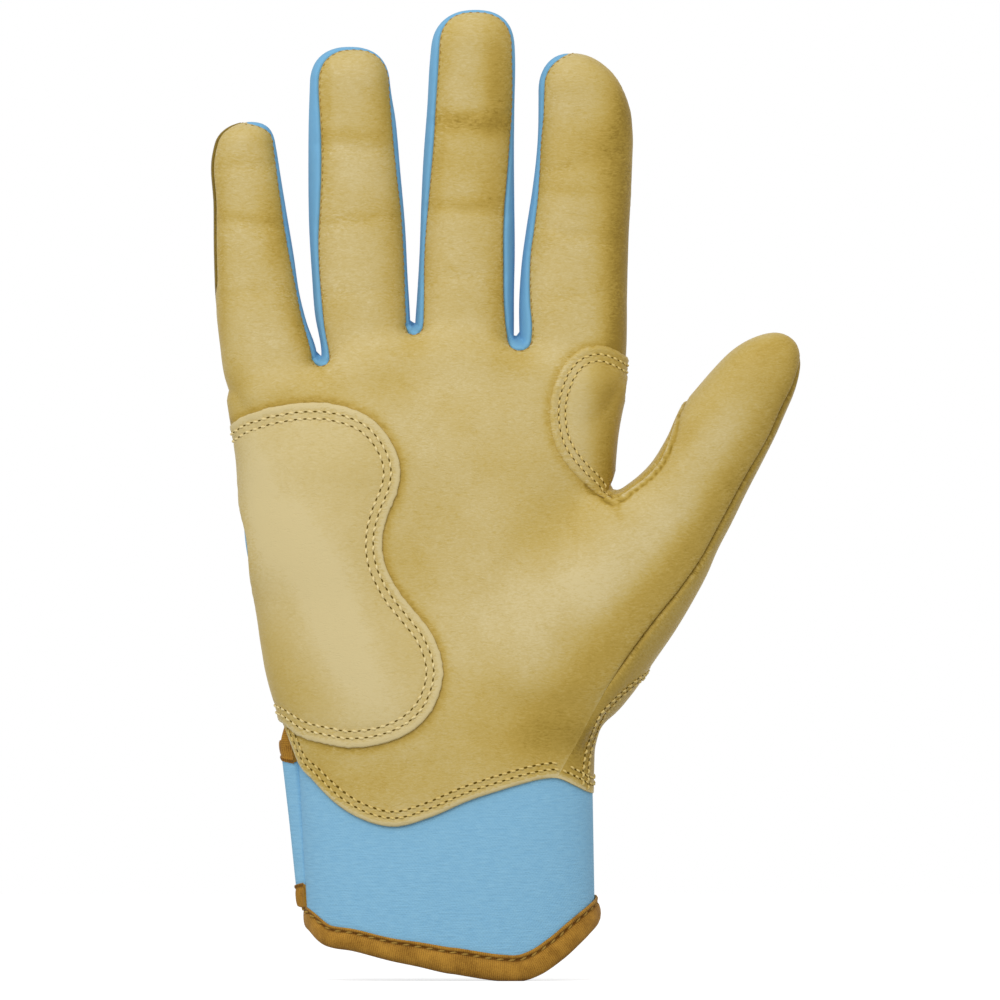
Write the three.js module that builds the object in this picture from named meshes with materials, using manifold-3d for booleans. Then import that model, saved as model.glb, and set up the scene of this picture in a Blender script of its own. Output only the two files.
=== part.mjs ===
// Batting glove for the right hand, shaped as it is on a hand, in millimetres.
// X runs across the palm to the thumb, Y from the palm to the back of the hand, Z up to the fingertips.
// The origin lies under the middle of the wrist opening, level with the lowest point of the hem.
// Every panel is cut from one thin skin, so that neighbours meet at their seams.
import * as THREE from 'three';
import { mergeVertices } from 'three/addons/utils/BufferGeometryUtils.js';
import Module from 'manifold-3d';

const wasm = await Module();
wasm.setup();

// Thicknesses, and the room between two layers.
const leatherThickness = 1.0;
const cuffThickness = 2.2;
const bindingThickness = 0.8;
const tapeThickness = 1.0;
const strapThickness = 1.4;
const seamGap = 0.3;
const overrun = 4;

// Wrist and cuff. The wrist's width and depth are over the leather.
const wristHeight = 54;
const wristWidth = 76.4;
const wristDepth = 36.4;
const wristMiddle = 0.1;
const wristTaper = 2;
const cuffLean = 1.9;
const cuffHeight = 66;
const hemRise = 16;
const hemBindingHeight = 5;
const slitX = -17;
const slitWidth = 5;
const slitHeight = 46;
const slitBindingWidth = 3.6;

// Palm, from the wrist to the webs between the fingers.
const palmHeight = 107;
const palmWidth = 100;
const palmDepth = 32;
const webDepth = 10;
const backSeamDepth = 3;
const backPanelBottom = 62.6;
const knuckleHeight = 149;
const thumbBackBottom = 47.6;

// Fingers. Each stands on the palm at rootX, and leans to tipX over its reach above the webs.
const fingerDepth = 19;
const fingerTipDepth = 15.5;
const fingerRootDrop = 14;
const fingerCurl = 7;
const little = { rootX: -46.5, tipX: -51.6, reach: 53.5, rootWidth: 22, tipWidth: 16.6, tipSlant: 0.6 };
const ring = { rootX: -21.2, tipX: -24.6, reach: 72, rootWidth: 24, tipWidth: 22, tipSlant: 0 };
const middle = { rootX: 4.0, tipX: 6.0, reach: 81.2, rootWidth: 24.4, tipWidth: 22, tipSlant: 0 };
const index = { rootX: 31.0, tipX: 35.2, reach: 70.5, rootWidth: 27, tipWidth: 23.6, tipSlant: -4 };

// Thumb, from the middle of its ball to its tip.
const thumbRootX = 29;
const thumbRootHeight = 80;
const thumbLength = 99.5;
const thumbAngle = THREE.MathUtils.degToRad(34.4);
const thumbBallWidth = 36;
const thumbDepth = 22;
const thumbForward = 10;
const crotchDistance = 40;
const gussetLength = 28;

// Overlays on the palm.
const padHeight = 86;
const padWidth = 54;
const padBottom = 58;
const padSideDepth = 1.5;
const padEdgeShare = 0.225;
const patchHeight = 37;
const patchWidth = 18.5;
const patchBottom = 121.5;
const patchRightX = 44.8;
const patchBackDepth = 2.5;

// The strap is sewn on at the little finger's side and crosses the back of the wrist.
const strapBottom = 20.8;
const strapHeight = 38.4;
const strapEndX = 21;
const strapCornerRadius = 8;
const strapBindingWidth = 4.6;
const strapRootAngle = THREE.MathUtils.degToRad(192.8);
const strapFarAngle = THREE.MathUtils.degToRad(45);
const strapRootLift = 1.4;
const strapEndLift = 2.9;
const hookWidth = 18;
const hookHeight = 26;
const loopWidth = 32;
const loopHeight = 27;
const loopX = 9;
const tapeCornerRadius = 3;

// Shares of the sizes above. A row of the palm holds the height, its two edges and the depth.
const palmRowShares = [
  [0.04, -0.413, 0.378, 1.15],
  [0.11, -0.425, 0.395, 1.15],
  [0.22, -0.442, 0.405, 1.08],
  [0.42, -0.477, 0.405, 1.0],
  [0.63, -0.503, 0.4, 0.97],
  [0.78, -0.521, 0.405, 0.91],
  [0.93, -0.547, 0.425, 0.8],
  [1.0, -0.557, 0.438, 0.73],
];
// A row of the web over the top of the palm: its share of the web's height and of the last depth.
const webRowShares = [[0.45, 0.84], [0.8, 0.56], [1, 0.16]];
// A row of a finger: how far it is from root to tip, and its share of the way to the tip's width.
const fingerRowShares = [[0, 0], [0.28, 0.14], [0.64, 0.62], [1, 1]];
const fingertipShares = [0.4, 0.7, 0.9, 1];
// A row of the thumb: how far it is from ball to tip, its shift aside, its width and its depth.
const thumbRowShares = [
  [-0.2, 0, 0.84, 1.0],
  [-0.06, 0, 0.97, 1.2],
  [0.08, 0, 1.035, 1.34],
  [0.2, 0, 1.03, 1.32],
  [0.31, 0.01, 0.98, 1.24],
  [0.41, 0.033, 0.845, 1.1],
  [0.49, 0.067, 0.73, 1.02],
  [0.545, 0.067, 0.695, 0.98],
  [0.62, 0.047, 0.672, 0.95],
  [0.7, 0.012, 0.683, 0.92],
  [0.765, 0.007, 0.635, 0.88],
  [0.86, 0.005, 0.55, 0.8],
  [0.915, 0.011, 0.472, 0.7],
  [0.955, 0.03, 0.34, 0.54],
  [0.98, 0.04, 0.23, 0.38],
  [1.0, 0.045, 0.08, 0.16],
];
// The thumb's front seam: how far it is from ball to tip, and its share of the half depth.
const thumbSeamShares = [
  [-0.6, 0.4], [-0.35, 0.42], [-0.12, 0.66], [0, 0.84], [0.2, 0.8], [0.34, 0.62], [0.5, 0.56], [1.15, 0.5],
];
// The hem's height round the wrist: a share of the turn, starting at the thumb and going by the back,
// and a share of hemRise.
const hemShares = [
  [0, 0.95], [0.125, 0.86], [0.25, 0.79], [0.4, 0.8], [0.5, 0.82], [0.54, 0.79], [0.598, 0.6], [0.646, 0.46],
  [0.697, 0.3], [0.759, 0.05], [0.786, 0.005], [0.816, 0.02], [0.839, 0.11], [0.873, 0.32], [0.9125, 0.62],
  [0.964, 0.9], [1, 0.95],
];
// The palm leather's wavy lower edge, as shares of half the wrist's width and of the wrist's height.
const waveShares = [
  [-1.6, 1.32], [-1.2, 1.28], [-1.08, 1.18], [-0.99, 1.055], [-0.89, 0.935], [-0.74, 0.82], [-0.545, 0.74],
  [-0.35, 0.713], [-0.12, 0.755], [0.145, 0.838], [0.47, 0.94], [0.68, 0.972], [0.83, 0.95],
  [0.955, 0.917], [1.6, 0.9],
];
// The pad's free edge, as shares of padWidth from the palm's edge and of padHeight from its bottom.
const padShares = [
  [-0.3, 0.88], [-0.1, 0.885], [0.045, 0.915], [0.2, 0.985], [0.36, 1], [0.5, 0.992], [0.64, 0.955],
  [0.735, 0.89], [0.78, 0.82], [0.77, 0.75], [0.72, 0.675], [0.7, 0.61], [0.705, 0.545], [0.755, 0.475],
  [0.835, 0.41], [0.92, 0.343], [0.965, 0.27], [0.98, 0.2], [0.93, 0.11], [0.825, 0.045], [0.685, 0.012],
  [0.545, 0.003], [0.4, 0.017], [0.31, 0.038], [0.24, 0.07], [0.1, 0.11], [-0.3, 0.16],
];
// The crotch patch's free edge, as shares of patchWidth from its right side and of patchHeight.
const patchShares = [
  [0.2, 0.97], [0, 0.97], [-0.36, 1], [-0.7, 0.925], [-0.91, 0.8], [-1, 0.6], [-0.97, 0.43],
  [-0.865, 0.26], [-0.64, 0.13], [-0.37, 0.03], [-0.1, -0.04],
];

const webHeight = wristHeight + palmHeight;
const palmRoundness = 2.5;
const fingerRoundness = 2.3;
const tipRoundness = 2.5;
const fingerSeamShare = 0.56;
const stripSeamShare = 0.46;
const crotchReachShare = 0.46;
const palmSides = 28;
const fingerSides = 16;
const cuffSides = 48;
const strapSteps = 30;
const slitArcSteps = 8;
const cornerSteps = 6;

// A far reach for the cutters.
const farSide = palmWidth * 1.2;
const farDepth = palmDepth * 1.5;
const farTop = webHeight + middle.reach * 1.3;

// The solid that a closed geometry bounds.
function solidFrom(geometry) {
  const bare = new THREE.BufferGeometry();
  bare.setAttribute('position', geometry.getAttribute('position'));
  bare.setIndex(geometry.index);
  const merged = mergeVertices(bare);
  return new wasm.Manifold(new wasm.Mesh({
    numProp: 3,
    vertProperties: merged.attributes.position.array,
    triVerts: new Uint32Array(merged.index.array),
  }));
}

// The mesh of a solid's largest body.
function meshFrom(name, solid, material) {
  const bodies = solid.decompose();
  const whole = bodies.reduce((a, b) => (b.volume() > a.volume() ? b : a));
  const { vertProperties, triVerts } = whole.getMesh();
  const geometry = new THREE.BufferGeometry();
  geometry.setAttribute('position', new THREE.BufferAttribute(vertProperties, 3));
  geometry.setIndex(new THREE.BufferAttribute(triVerts, 1));
  geometry.computeVertexNormals();
  const mesh = new THREE.Mesh(geometry, material);
  mesh.name = name;
  return mesh;
}

const joined = (solids) => solids.reduce((all, one) => all.add(one));

// Skins a row of rings, each turning the same way, into a closed body.
function loft(rings) {
  const sides = rings[0].length;
  const points = rings.flat();
  const faces = [];
  for (let row = 0; row + 1 < rings.length; row++) {
    for (let side = 0; side < sides; side++) {
      const a = row * sides + side;
      const b = row * sides + ((side + 1) % sides);
      faces.push(a, b, b + sides, a, b + sides, a + sides);
    }
  }
  const close = (rim, first, flip) => {
    points.push(rim.reduce((sum, point) => sum.add(point), new THREE.Vector3()).divideScalar(sides));
    for (let side = 0; side < sides; side++) {
      const next = first + ((side + 1) % sides);
      faces.push(points.length - 1, ...(flip ? [next, first + side] : [first + side, next]));
    }
  };
  close(rings[0], 0, true);
  close(rings.at(-1), (rings.length - 1) * sides, false);
  const geometry = new THREE.BufferGeometry().setFromPoints(points);
  geometry.setIndex(faces);
  return solidFrom(geometry);
}

const bend = (value, roundness) => Math.sign(value) * Math.abs(value) ** (2 / roundness);

// A rounded ring about a centre: across one direction, and through the depth.
function section(centre, across, halfWidth, halfDepth, roundness, sides) {
  return Array.from({ length: sides }, (_, i) => {
    const angle = (2 * Math.PI * i) / sides;
    return centre.clone()
      .addScaledVector(across, halfWidth * bend(Math.cos(angle), roundness))
      .add(new THREE.Vector3(0, halfDepth * bend(Math.sin(angle), roundness), 0));
  });
}

const acrossHand = new THREE.Vector3(1, 0, 0);
const alongThumb = new THREE.Vector3(Math.sin(thumbAngle), 0, Math.cos(thumbAngle));
const acrossThumb = new THREE.Vector3(Math.cos(thumbAngle), 0, -Math.sin(thumbAngle));

const wristCentreX = (height) => wristMiddle + cuffLean * (0.5 - height / wristHeight);

function wristRing(height, grow, sides) {
  const centre = new THREE.Vector3(wristCentreX(height), 0, height);
  const halfWidth = (wristWidth - wristTaper * (1 - height / wristHeight)) / 2 + grow;
  return section(centre, acrossHand, halfWidth, wristDepth / 2 + grow, palmRoundness, sides);
}

// The body of the hand. Growing it by a negative amount gives the space inside the skin.
function palmForm(grow) {
  const bottom = wristHeight / 2 - (grow < 0 ? overrun : 0);
  const rings = [bottom, wristHeight].map((height) => wristRing(height, grow, palmSides));
  const bodyHeight = palmHeight - webDepth;
  const addRing = (height, leftShare, rightShare, depthShare) => {
    const centre = new THREE.Vector3((leftShare + rightShare) / 2 * palmWidth, 0, height);
    const halfWidth = (rightShare - leftShare) / 2 * palmWidth + grow;
    const halfDepth = Math.max(depthShare * palmDepth / 2 + grow, leatherThickness / 2);
    rings.push(section(centre, acrossHand, halfWidth, halfDepth, palmRoundness, palmSides));
  };
  for (const [up, left, right, depth] of palmRowShares) {
    addRing(wristHeight + up * bodyHeight, left, right, depth);
  }
  const [, left, right, depth] = palmRowShares.at(-1);
  for (const [up, share] of webRowShares) {
    addRing(wristHeight + bodyHeight + up * (webDepth + grow), left, right, depth * share);
  }
  return loft(rings);
}

// How far forward a finger's middle is at a height: it curls towards the palm.
function curlAt(height) {
  const up = Math.max(0, height - webHeight) / middle.reach;
  return -fingerCurl * up * up;
}

const fingerX = (finger, height) => finger.rootX
  + (finger.tipX - finger.rootX) * (height - webHeight) / finger.reach;

function fingerForm(finger, grow) {
  const rings = [];
  const addRing = (height, halfWidth, halfDepth, aside) => {
    const centre = new THREE.Vector3(fingerX(finger, height) + aside, curlAt(height), height);
    rings.push(section(centre, acrossHand, halfWidth + grow, halfDepth + grow, fingerRoundness, fingerSides));
  };
  addRing(webHeight - fingerRootDrop, finger.rootWidth / 2, fingerDepth / 2, 0);
  const capLength = finger.tipWidth / 2;
  const straight = finger.reach - capLength;
  for (const [up, share] of fingerRowShares) {
    const width = THREE.MathUtils.lerp(finger.rootWidth, finger.tipWidth, share);
    const depth = THREE.MathUtils.lerp(fingerDepth, fingerTipDepth, share);
    addRing(webHeight + up * straight, width / 2, depth / 2, 0);
  }
  for (const up of fingertipShares) {
    const narrowing = (1 - up ** tipRoundness) ** (1 / tipRoundness);
    const halfWidth = Math.max(finger.tipWidth / 2 * narrowing, leatherThickness - grow);
    const halfDepth = Math.max(fingerTipDepth / 2 * narrowing, leatherThickness - grow);
    const height = webHeight + straight + up * (capLength + grow);
    addRing(height, halfWidth, halfDepth, finger.tipSlant * up * up);
  }
  return loft(rings);
}

// Reads a table of rows at a share, in between its rows.
function tableAt(rows, share) {
  const found = rows.findIndex(([from]) => from > share) - 1;
  const row = found < -1 ? rows.length - 2 : Math.max(0, found);
  const between = (share - rows[row][0]) / (rows[row + 1][0] - rows[row][0]);
  const part = THREE.MathUtils.clamp(between, 0, 1);
  return rows[row].map((value, i) => THREE.MathUtils.lerp(value, rows[row + 1][i], part));
}

const thumbForwardAt = (share) => thumbForward * Math.max(0, share) ** 1.5;

function thumbForm(grow) {
  const rings = thumbRowShares.map(([share, aside, width, depth]) => {
    const distance = share * thumbLength + (share > 0.9 ? grow * share : 0);
    const centre = new THREE.Vector3(thumbRootX, -thumbForwardAt(share), thumbRootHeight)
      .addScaledVector(alongThumb, distance)
      .addScaledVector(acrossThumb, aside * thumbBallWidth);
    const halfWidth = Math.max(width * thumbBallWidth / 2 + grow, leatherThickness);
    const halfDepth = Math.max(depth * thumbDepth / 2 + grow, leatherThickness);
    return section(centre, acrossThumb, halfWidth, halfDepth, fingerRoundness, fingerSides + 2);
  });
  return loft(rings);
}

const fingers = [little, ring, middle, index];

// The whole hand, grown by an amount.
const handForm = (grow) => joined([
  palmForm(grow), ...fingers.map((finger) => fingerForm(finger, grow)), thumbForm(grow),
]);

// Cuts along the depth through an outline seen from the palm, a list of [x, z].
function throughDepth(outline, front = -farDepth, back = farDepth) {
  const shape = new THREE.Shape(outline.map(([x, z]) => new THREE.Vector2(x, z)));
  const geometry = new THREE.ExtrudeGeometry(shape, { depth: back - front, bevelEnabled: false });
  geometry.rotateX(Math.PI / 2);
  geometry.translate(0, back, 0);
  return solidFrom(geometry);
}

// Cuts across the hand through an outline seen from the side, a list of [y, z].
function throughWidth(outline) {
  const shape = new THREE.Shape(outline.map(([y, z]) => new THREE.Vector2(y, z)));
  const geometry = new THREE.ExtrudeGeometry(shape, { depth: farSide * 2, bevelEnabled: false });
  geometry.rotateX(Math.PI / 2);
  geometry.rotateZ(Math.PI / 2);
  geometry.translate(-farSide, 0, 0);
  return solidFrom(geometry);
}

// Cuts across the thumb through an outline of [distance from the ball, depth].
function throughThumb(outline, asideFrom, asideTo) {
  const shape = new THREE.Shape(outline.map(([distance, depth]) => new THREE.Vector2(distance, depth)));
  const geometry = new THREE.ExtrudeGeometry(shape, { depth: asideTo - asideFrom, bevelEnabled: false });
  geometry.translate(0, 0, -asideTo);
  const inwards = acrossThumb.clone().negate();
  geometry.applyMatrix4(new THREE.Matrix4().makeBasis(alongThumb, new THREE.Vector3(0, 1, 0), inwards));
  geometry.translate(thumbRootX, 0, thumbRootHeight);
  return solidFrom(geometry);
}

const block = (left, right, bottom, top) => throughDepth(
  [[left, bottom], [right, bottom], [right, top], [left, top]],
);

// A smooth run of points through a few chosen ones.
function smooth(points, count) {
  const curve = new THREE.CatmullRomCurve3(points.map(([x, z]) => new THREE.Vector3(x, 0, z)));
  return curve.getPoints(count).map((point) => [point.x, point.z]);
}

const seamHeights = [-0.15, 0, 0.22, 0.44, 0.66, 0.88, 1.15].map((share) => webHeight + share * middle.reach);

// The depth of a seam down a finger's side, at a height.
function fingerSeamDepth(height, share) {
  const up = THREE.MathUtils.clamp((height - webHeight) / middle.reach, 0, 1);
  return curlAt(height) + share * THREE.MathUtils.lerp(fingerDepth, fingerTipDepth, up) / 2;
}

function fingerSideBand(frontShare, backShare, grow) {
  const front = seamHeights.map((height) => [fingerSeamDepth(height, -frontShare) - grow, height]);
  const back = seamHeights.map((height) => [fingerSeamDepth(height, backShare) + grow, height]);
  return throughWidth([...front, ...back.reverse()]);
}

// The side walls of two neighbouring fingers, with the web between them.
function fourchetteRegion(near, far, grow) {
  const inset = seamGap / 2 - grow;
  const bottom = webHeight - webDepth * 0.75 - grow;
  const outline = [
    [fingerX(near, bottom) + inset, bottom],
    [fingerX(far, bottom) - inset, bottom],
    [fingerX(far, farTop) - inset, farTop],
    [fingerX(near, farTop) + inset, farTop],
  ];
  return throughDepth(outline).intersect(fingerSideBand(fingerSeamShare, fingerSeamShare, grow));
}

// The narrow strip down the outer side of the little finger.
function sideStripRegion(grow) {
  const inset = seamGap / 2 - grow;
  const bottom = webHeight - webDepth * 0.3 - grow;
  const outline = [
    [-farSide, bottom],
    [fingerX(little, bottom) - inset, bottom],
    [fingerX(little, farTop) - inset, farTop],
    [-farSide, farTop],
  ];
  return throughDepth(outline).intersect(fingerSideBand(stripSeamShare, fingerSeamShare, grow));
}

const thumbSteps = [-0.55, -0.35, -0.12, 0, 0.1, 0.2, 0.34, 0.42, 0.5, 0.6, 0.7, 0.8, 0.9, 1, 1.15];

// A seam along the thumb, as [distance, depth] points from the wrist to past the tip.
function thumbSeam(side, shift) {
  return thumbSteps.map((step) => {
    const halfDepth = tableAt(thumbRowShares, Math.min(step, 0.86))[3] * thumbDepth / 2;
    const share = tableAt(thumbSeamShares, step)[1];
    return [step * thumbLength, side * share * halfDepth - thumbForwardAt(step) + shift];
  });
}

// The back and the outer side of the thumb, down to the wrist.
function thumbBackRegion(grow) {
  const outerSeam = thumbSeam(-1, -grow);
  const outer = throughThumb(
    [[outerSeam.at(-1)[0], farDepth], [outerSeam[0][0], farDepth], ...outerSeam], -grow, farSide,
  );
  const rightOfStrap = block(strapEndX + strapBindingWidth - grow, farSide, thumbBackBottom - grow, farTop);
  const innerSeam = thumbSeam(1, -grow).filter(([distance]) => distance > crotchDistance);
  const start = innerSeam[0][0] - grow;
  const inner = throughThumb(
    [[innerSeam.at(-1)[0], farDepth], [start, farDepth], [start, innerSeam[0][1]], ...innerSeam],
    -thumbBallWidth * crotchReachShare,
    overrun,
  );
  return outer.intersect(rightOfStrap).add(inner);
}

// The strip along the inner side of the thumb, up from the crotch.
function gussetRegion(grow) {
  const front = thumbSeam(-1, -grow).filter(([distance]) => distance > 0);
  const back = thumbSeam(1, grow - seamGap).filter(([distance]) => distance > 0);
  const band = throughThumb([...front, ...back.reverse()], -thumbBallWidth * crotchReachShare, 0);
  const from = crotchDistance - grow;
  const to = crotchDistance + gussetLength + grow;
  const outline = [[from, -farDepth], [to, -farDepth], [to, farDepth], [from, farDepth]];
  return band.intersect(throughThumb(outline, -farSide, 0));
}

// Everything behind the back seam.
function backRegion(grow) {
  const bottom = wristHeight / 2;
  const palmSeam = [bottom, webHeight - webDepth].map((height) => [backSeamDepth - grow, height]);
  const fingerSeam = seamHeights.slice(1).map((height) => [
    fingerSeamDepth(height, fingerSeamShare) + seamGap - grow, height,
  ]);
  return throughWidth([...palmSeam, ...fingerSeam, [farDepth, farTop], [farDepth, bottom]]);
}

// The back of one finger, between the middles of the gaps beside it.
function fingerBackRegion(finger) {
  const place = fingers.indexOf(finger);
  const halfway = (key, a, b) => (a && b ? (a[key] + b[key]) / 2 : 0);
  const [before, after] = [fingers[place - 1], fingers[place + 1]];
  const bottomLeft = before ? halfway('rootX', before, finger) + seamGap / 2 : -farSide;
  const bottomRight = after ? halfway('rootX', finger, after) - seamGap / 2 : farSide;
  const topLeft = before ? halfway('tipX', before, finger) : -farSide;
  const topRight = after ? halfway('tipX', finger, after) : farSide;
  return throughDepth([
    [bottomLeft, knuckleHeight], [bottomRight, knuckleHeight], [topRight, farTop], [topLeft, farTop],
  ]);
}

// The room above the palm leather's wavy lower edge.
function aboveWave() {
  const points = waveShares.map(([x, z]) => [wristMiddle + x * wristWidth / 2, z * wristHeight]);
  const wave = smooth(points, 56);
  const right = [[farSide, wave.at(-1)[1]], [farSide, farTop]];
  return throughDepth([[-farSide, farTop], [-farSide, wave[0][1]], ...wave, ...right]);
}

// The palm pad lies on the leather, round to the back seam.
function palmPad() {
  const layer = palmForm(seamGap + leatherThickness).subtract(palmForm(seamGap));
  const edgeX = palmRowShares[1][1] * palmWidth - seamGap;
  const left = edgeX - padEdgeShare * padWidth;
  const points = padShares.map(([x, z]) => [left + x * padWidth, padBottom + z * padHeight]);
  const outline = throughDepth(smooth(points, 96), -farDepth, padSideDepth);
  return layer.intersect(outline);
}

// The patch over the crotch lies on the leather, from the palm round the index finger's side.
function crotchPatch() {
  const layer = handForm(seamGap + leatherThickness).subtract(handForm(seamGap));
  const points = patchShares.map(([x, z]) => [patchRightX + x * patchWidth, patchBottom + z * patchHeight]);
  const outline = throughDepth(smooth(points, 40), -farDepth, patchBackDepth);
  return layer.intersect(outline);
}

// Skins a row of rings into a closed hoop, the last ring joining the first.
function hoop(rings) {
  const sides = rings[0].length;
  const faces = [];
  for (let row = 0; row < rings.length; row++) {
    const up = ((row + 1) % rings.length) * sides;
    for (let side = 0; side < sides; side++) {
      const next = (side + 1) % sides;
      const a = row * sides + side;
      const b = row * sides + next;
      faces.push(a, b, up + next, a, up + next, up + side);
    }
  }
  const geometry = new THREE.BufferGeometry().setFromPoints(rings.flat());
  geometry.setIndex(faces);
  return solidFrom(geometry);
}

const hemCurve = smooth(hemShares, 96);
const cuffGrow = -(leatherThickness + seamGap);

// One ring of the cuff, each of its points at its own height above the hem.
function cuffRing(grow, heightAt) {
  return Array.from({ length: cuffSides }, (_, i) => {
    const hem = tableAt(hemCurve, i / cuffSides)[1] * hemRise + seamGap + bindingThickness;
    return wristRing(heightAt(hem), cuffGrow + grow, cuffSides)[i];
  });
}

// The cuff's wall, grown on both faces, from a distance below its hem to a height.
function cuffWall(grow, below, heightAt) {
  return hoop([
    cuffRing(grow, (hem) => hem - below),
    cuffRing(grow, heightAt),
    cuffRing(-cuffThickness - grow, heightAt),
    cuffRing(-cuffThickness - grow, (hem) => hem - below),
  ]);
}

// The slit in the back of the cuff, up from the hem.
function slit(grow) {
  const half = slitWidth / 2 + grow;
  const arc = Array.from({ length: slitArcSteps + 1 }, (_, i) => {
    const angle = (Math.PI * i) / slitArcSteps;
    return [slitX + half * Math.cos(angle), slitHeight - slitWidth / 2 + half * Math.sin(angle)];
  });
  return throughDepth([[slitX - half, -farDepth], [slitX + half, -farDepth], ...arc], 0, farDepth);
}

const cuff = () => cuffWall(0, 0, () => cuffHeight).subtract(slit(0));

// The binding folds over the hem and over the edges of the slit.
function hemBinding() {
  const fold = seamGap + bindingThickness;
  const hem = cuffWall(fold, fold, (height) => height + hemBindingHeight);
  const slitSides = cuffWall(fold, fold, () => cuffHeight).intersect(slit(slitBindingWidth));
  const room = cuffWall(seamGap, seamGap, () => cuffHeight + overrun).subtract(slit(-seamGap));
  return hem.add(slitSides).subtract(slit(-fold)).subtract(room);
}

// A band round the wrist, lifted off the cuff, as a wall between an inner and an outer face.
// It starts a number of steps before its root.
function strapWall(inside, outside, before, bottom, top) {
  const path = (extra) => Array.from({ length: strapSteps + before + 1 }, (_, i) => {
    const share = (i - before) / strapSteps;
    const angle = THREE.MathUtils.lerp(strapRootAngle, strapFarAngle, share);
    const rise = THREE.MathUtils.smoothstep(share, 0.1, 0.45);
    const lift = THREE.MathUtils.lerp(strapRootLift, strapEndLift, rise);
    const grow = cuffGrow + lift + extra;
    return new THREE.Vector2(
      (wristWidth / 2 + grow) * bend(Math.cos(angle), palmRoundness),
      (wristDepth / 2 + grow) * bend(Math.sin(angle), palmRoundness),
    );
  });
  const shape = new THREE.Shape([...path(outside), ...path(inside).reverse()]);
  const geometry = new THREE.ExtrudeGeometry(shape, { depth: top - bottom, bevelEnabled: false });
  geometry.translate(0, 0, bottom);
  const lean = (cuffLean + wristTaper / 2) / wristHeight;
  const shift = wristCentreX(wristHeight) + wristHeight * lean;
  geometry.applyMatrix4(new THREE.Matrix4().set(1, 0, -lean, shift, 0, 1, 0, 0, 0, 0, 1, 0, 0, 0, 0, 1));
  return solidFrom(geometry);
}

// A rounded outline seen from the back, with its two right corners rounded.
function roundedEnd(left, right, bottom, top, radius, grow) {
  const corner = Math.max(radius + grow, seamGap);
  const arc = (x, z, from) => Array.from({ length: cornerSteps + 1 }, (_, i) => {
    const angle = from + (Math.PI / 2) * (i / cornerSteps);
    return [x + corner * Math.cos(angle), z + corner * Math.sin(angle)];
  });
  const arcX = right + grow - corner;
  const lower = arc(arcX, bottom - grow + corner, -Math.PI / 2);
  const upper = arc(arcX, top + grow - corner, 0);
  return throughDepth([[left - grow, bottom - grow], ...lower, ...upper, [left - grow, top + grow]]);
}

const strapTop = strapBottom + strapHeight;
const strapOutline = (grow) => roundedEnd(
  -farSide, strapEndX, strapBottom, strapTop, strapCornerRadius, grow,
);
const strapSolid = (grow, before) => strapWall(
  -grow, strapThickness + grow, before, strapBottom - overrun, strapTop + overrun,
).intersect(strapOutline(grow));

const strap = () => strapSolid(0, 0);

// The binding folds over the strap's two long edges and its free end.
function strapBinding() {
  const folded = strapSolid(seamGap + bindingThickness, 0);
  const room = strapSolid(seamGap, 2);
  return folded.subtract(room).subtract(strapOutline(-strapBindingWidth));
}

const strapMiddleHeight = strapBottom + strapHeight / 2;

function tapeOutline(left, right, height) {
  const bottom = strapMiddleHeight - height / 2;
  return roundedEnd(left, right, bottom, bottom + height, tapeCornerRadius, 0);
}

// The hook tape under the strap's end.
function hookTape() {
  const right = strapEndX - strapBindingWidth - seamGap;
  const outline = tapeOutline(right - hookWidth, right, hookHeight);
  return strapWall(-seamGap - tapeThickness, -seamGap, 0, strapBottom, strapTop).intersect(outline);
}

// The loop tape on the cuff, beside the slit.
function loopTape() {
  const tube = (grow, bottom, top) => loft([bottom, top].map((height) => wristRing(height, grow, cuffSides)));
  const layer = tube(cuffGrow + seamGap + tapeThickness, strapBottom, strapTop)
    .subtract(tube(cuffGrow + seamGap, strapBottom - overrun, strapTop + overrun));
  const outline = tapeOutline(loopX - loopWidth / 2, loopX + loopWidth / 2, loopHeight);
  const behind = throughWidth([[0, 0], [farDepth, 0], [farDepth, farTop], [0, farTop]]);
  return layer.intersect(outline).intersect(behind);
}

// Materials, from the photograph.
const tanLeather = new THREE.MeshStandardMaterial({ color: 0xc8ad66, roughness: 0.5, metalness: 0 });
const paleLeather = new THREE.MeshStandardMaterial({ color: 0xccb476, roughness: 0.52, metalness: 0 });
const oliveLeather = new THREE.MeshStandardMaterial({ color: 0x8a7435, roughness: 0.55, metalness: 0 });
const blueKnit = new THREE.MeshStandardMaterial({ color: 0x7fb2d6, roughness: 0.85, metalness: 0 });
const blueFabric = new THREE.MeshStandardMaterial({ color: 0x79b0da, roughness: 0.7, metalness: 0 });
const brownBinding = new THREE.MeshStandardMaterial({ color: 0xa8762a, roughness: 0.9, metalness: 0 });
const darkTape = new THREE.MeshStandardMaterial({ color: 0x202225, roughness: 0.95, metalness: 0 });

const skin = handForm(0).subtract(handForm(-leatherThickness));
const gaps = [['little_ring', little, ring], ['ring_middle', ring, middle], ['middle_index', middle, index]];
const sideRegions = joined([
  ...gaps.map(([, near, far]) => fourchetteRegion(near, far, seamGap)),
  sideStripRegion(seamGap),
  thumbBackRegion(seamGap),
  gussetRegion(seamGap),
]);
const backSkin = skin.intersect(backRegion(0)).subtract(sideRegions);
const backPanelHeights = block(-farSide, farSide, backPanelBottom, knuckleHeight - seamGap);

const glove = new THREE.Group();
glove.name = 'batting_glove';
const add = (name, solid, material) => glove.add(meshFrom(name, solid, material));

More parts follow.
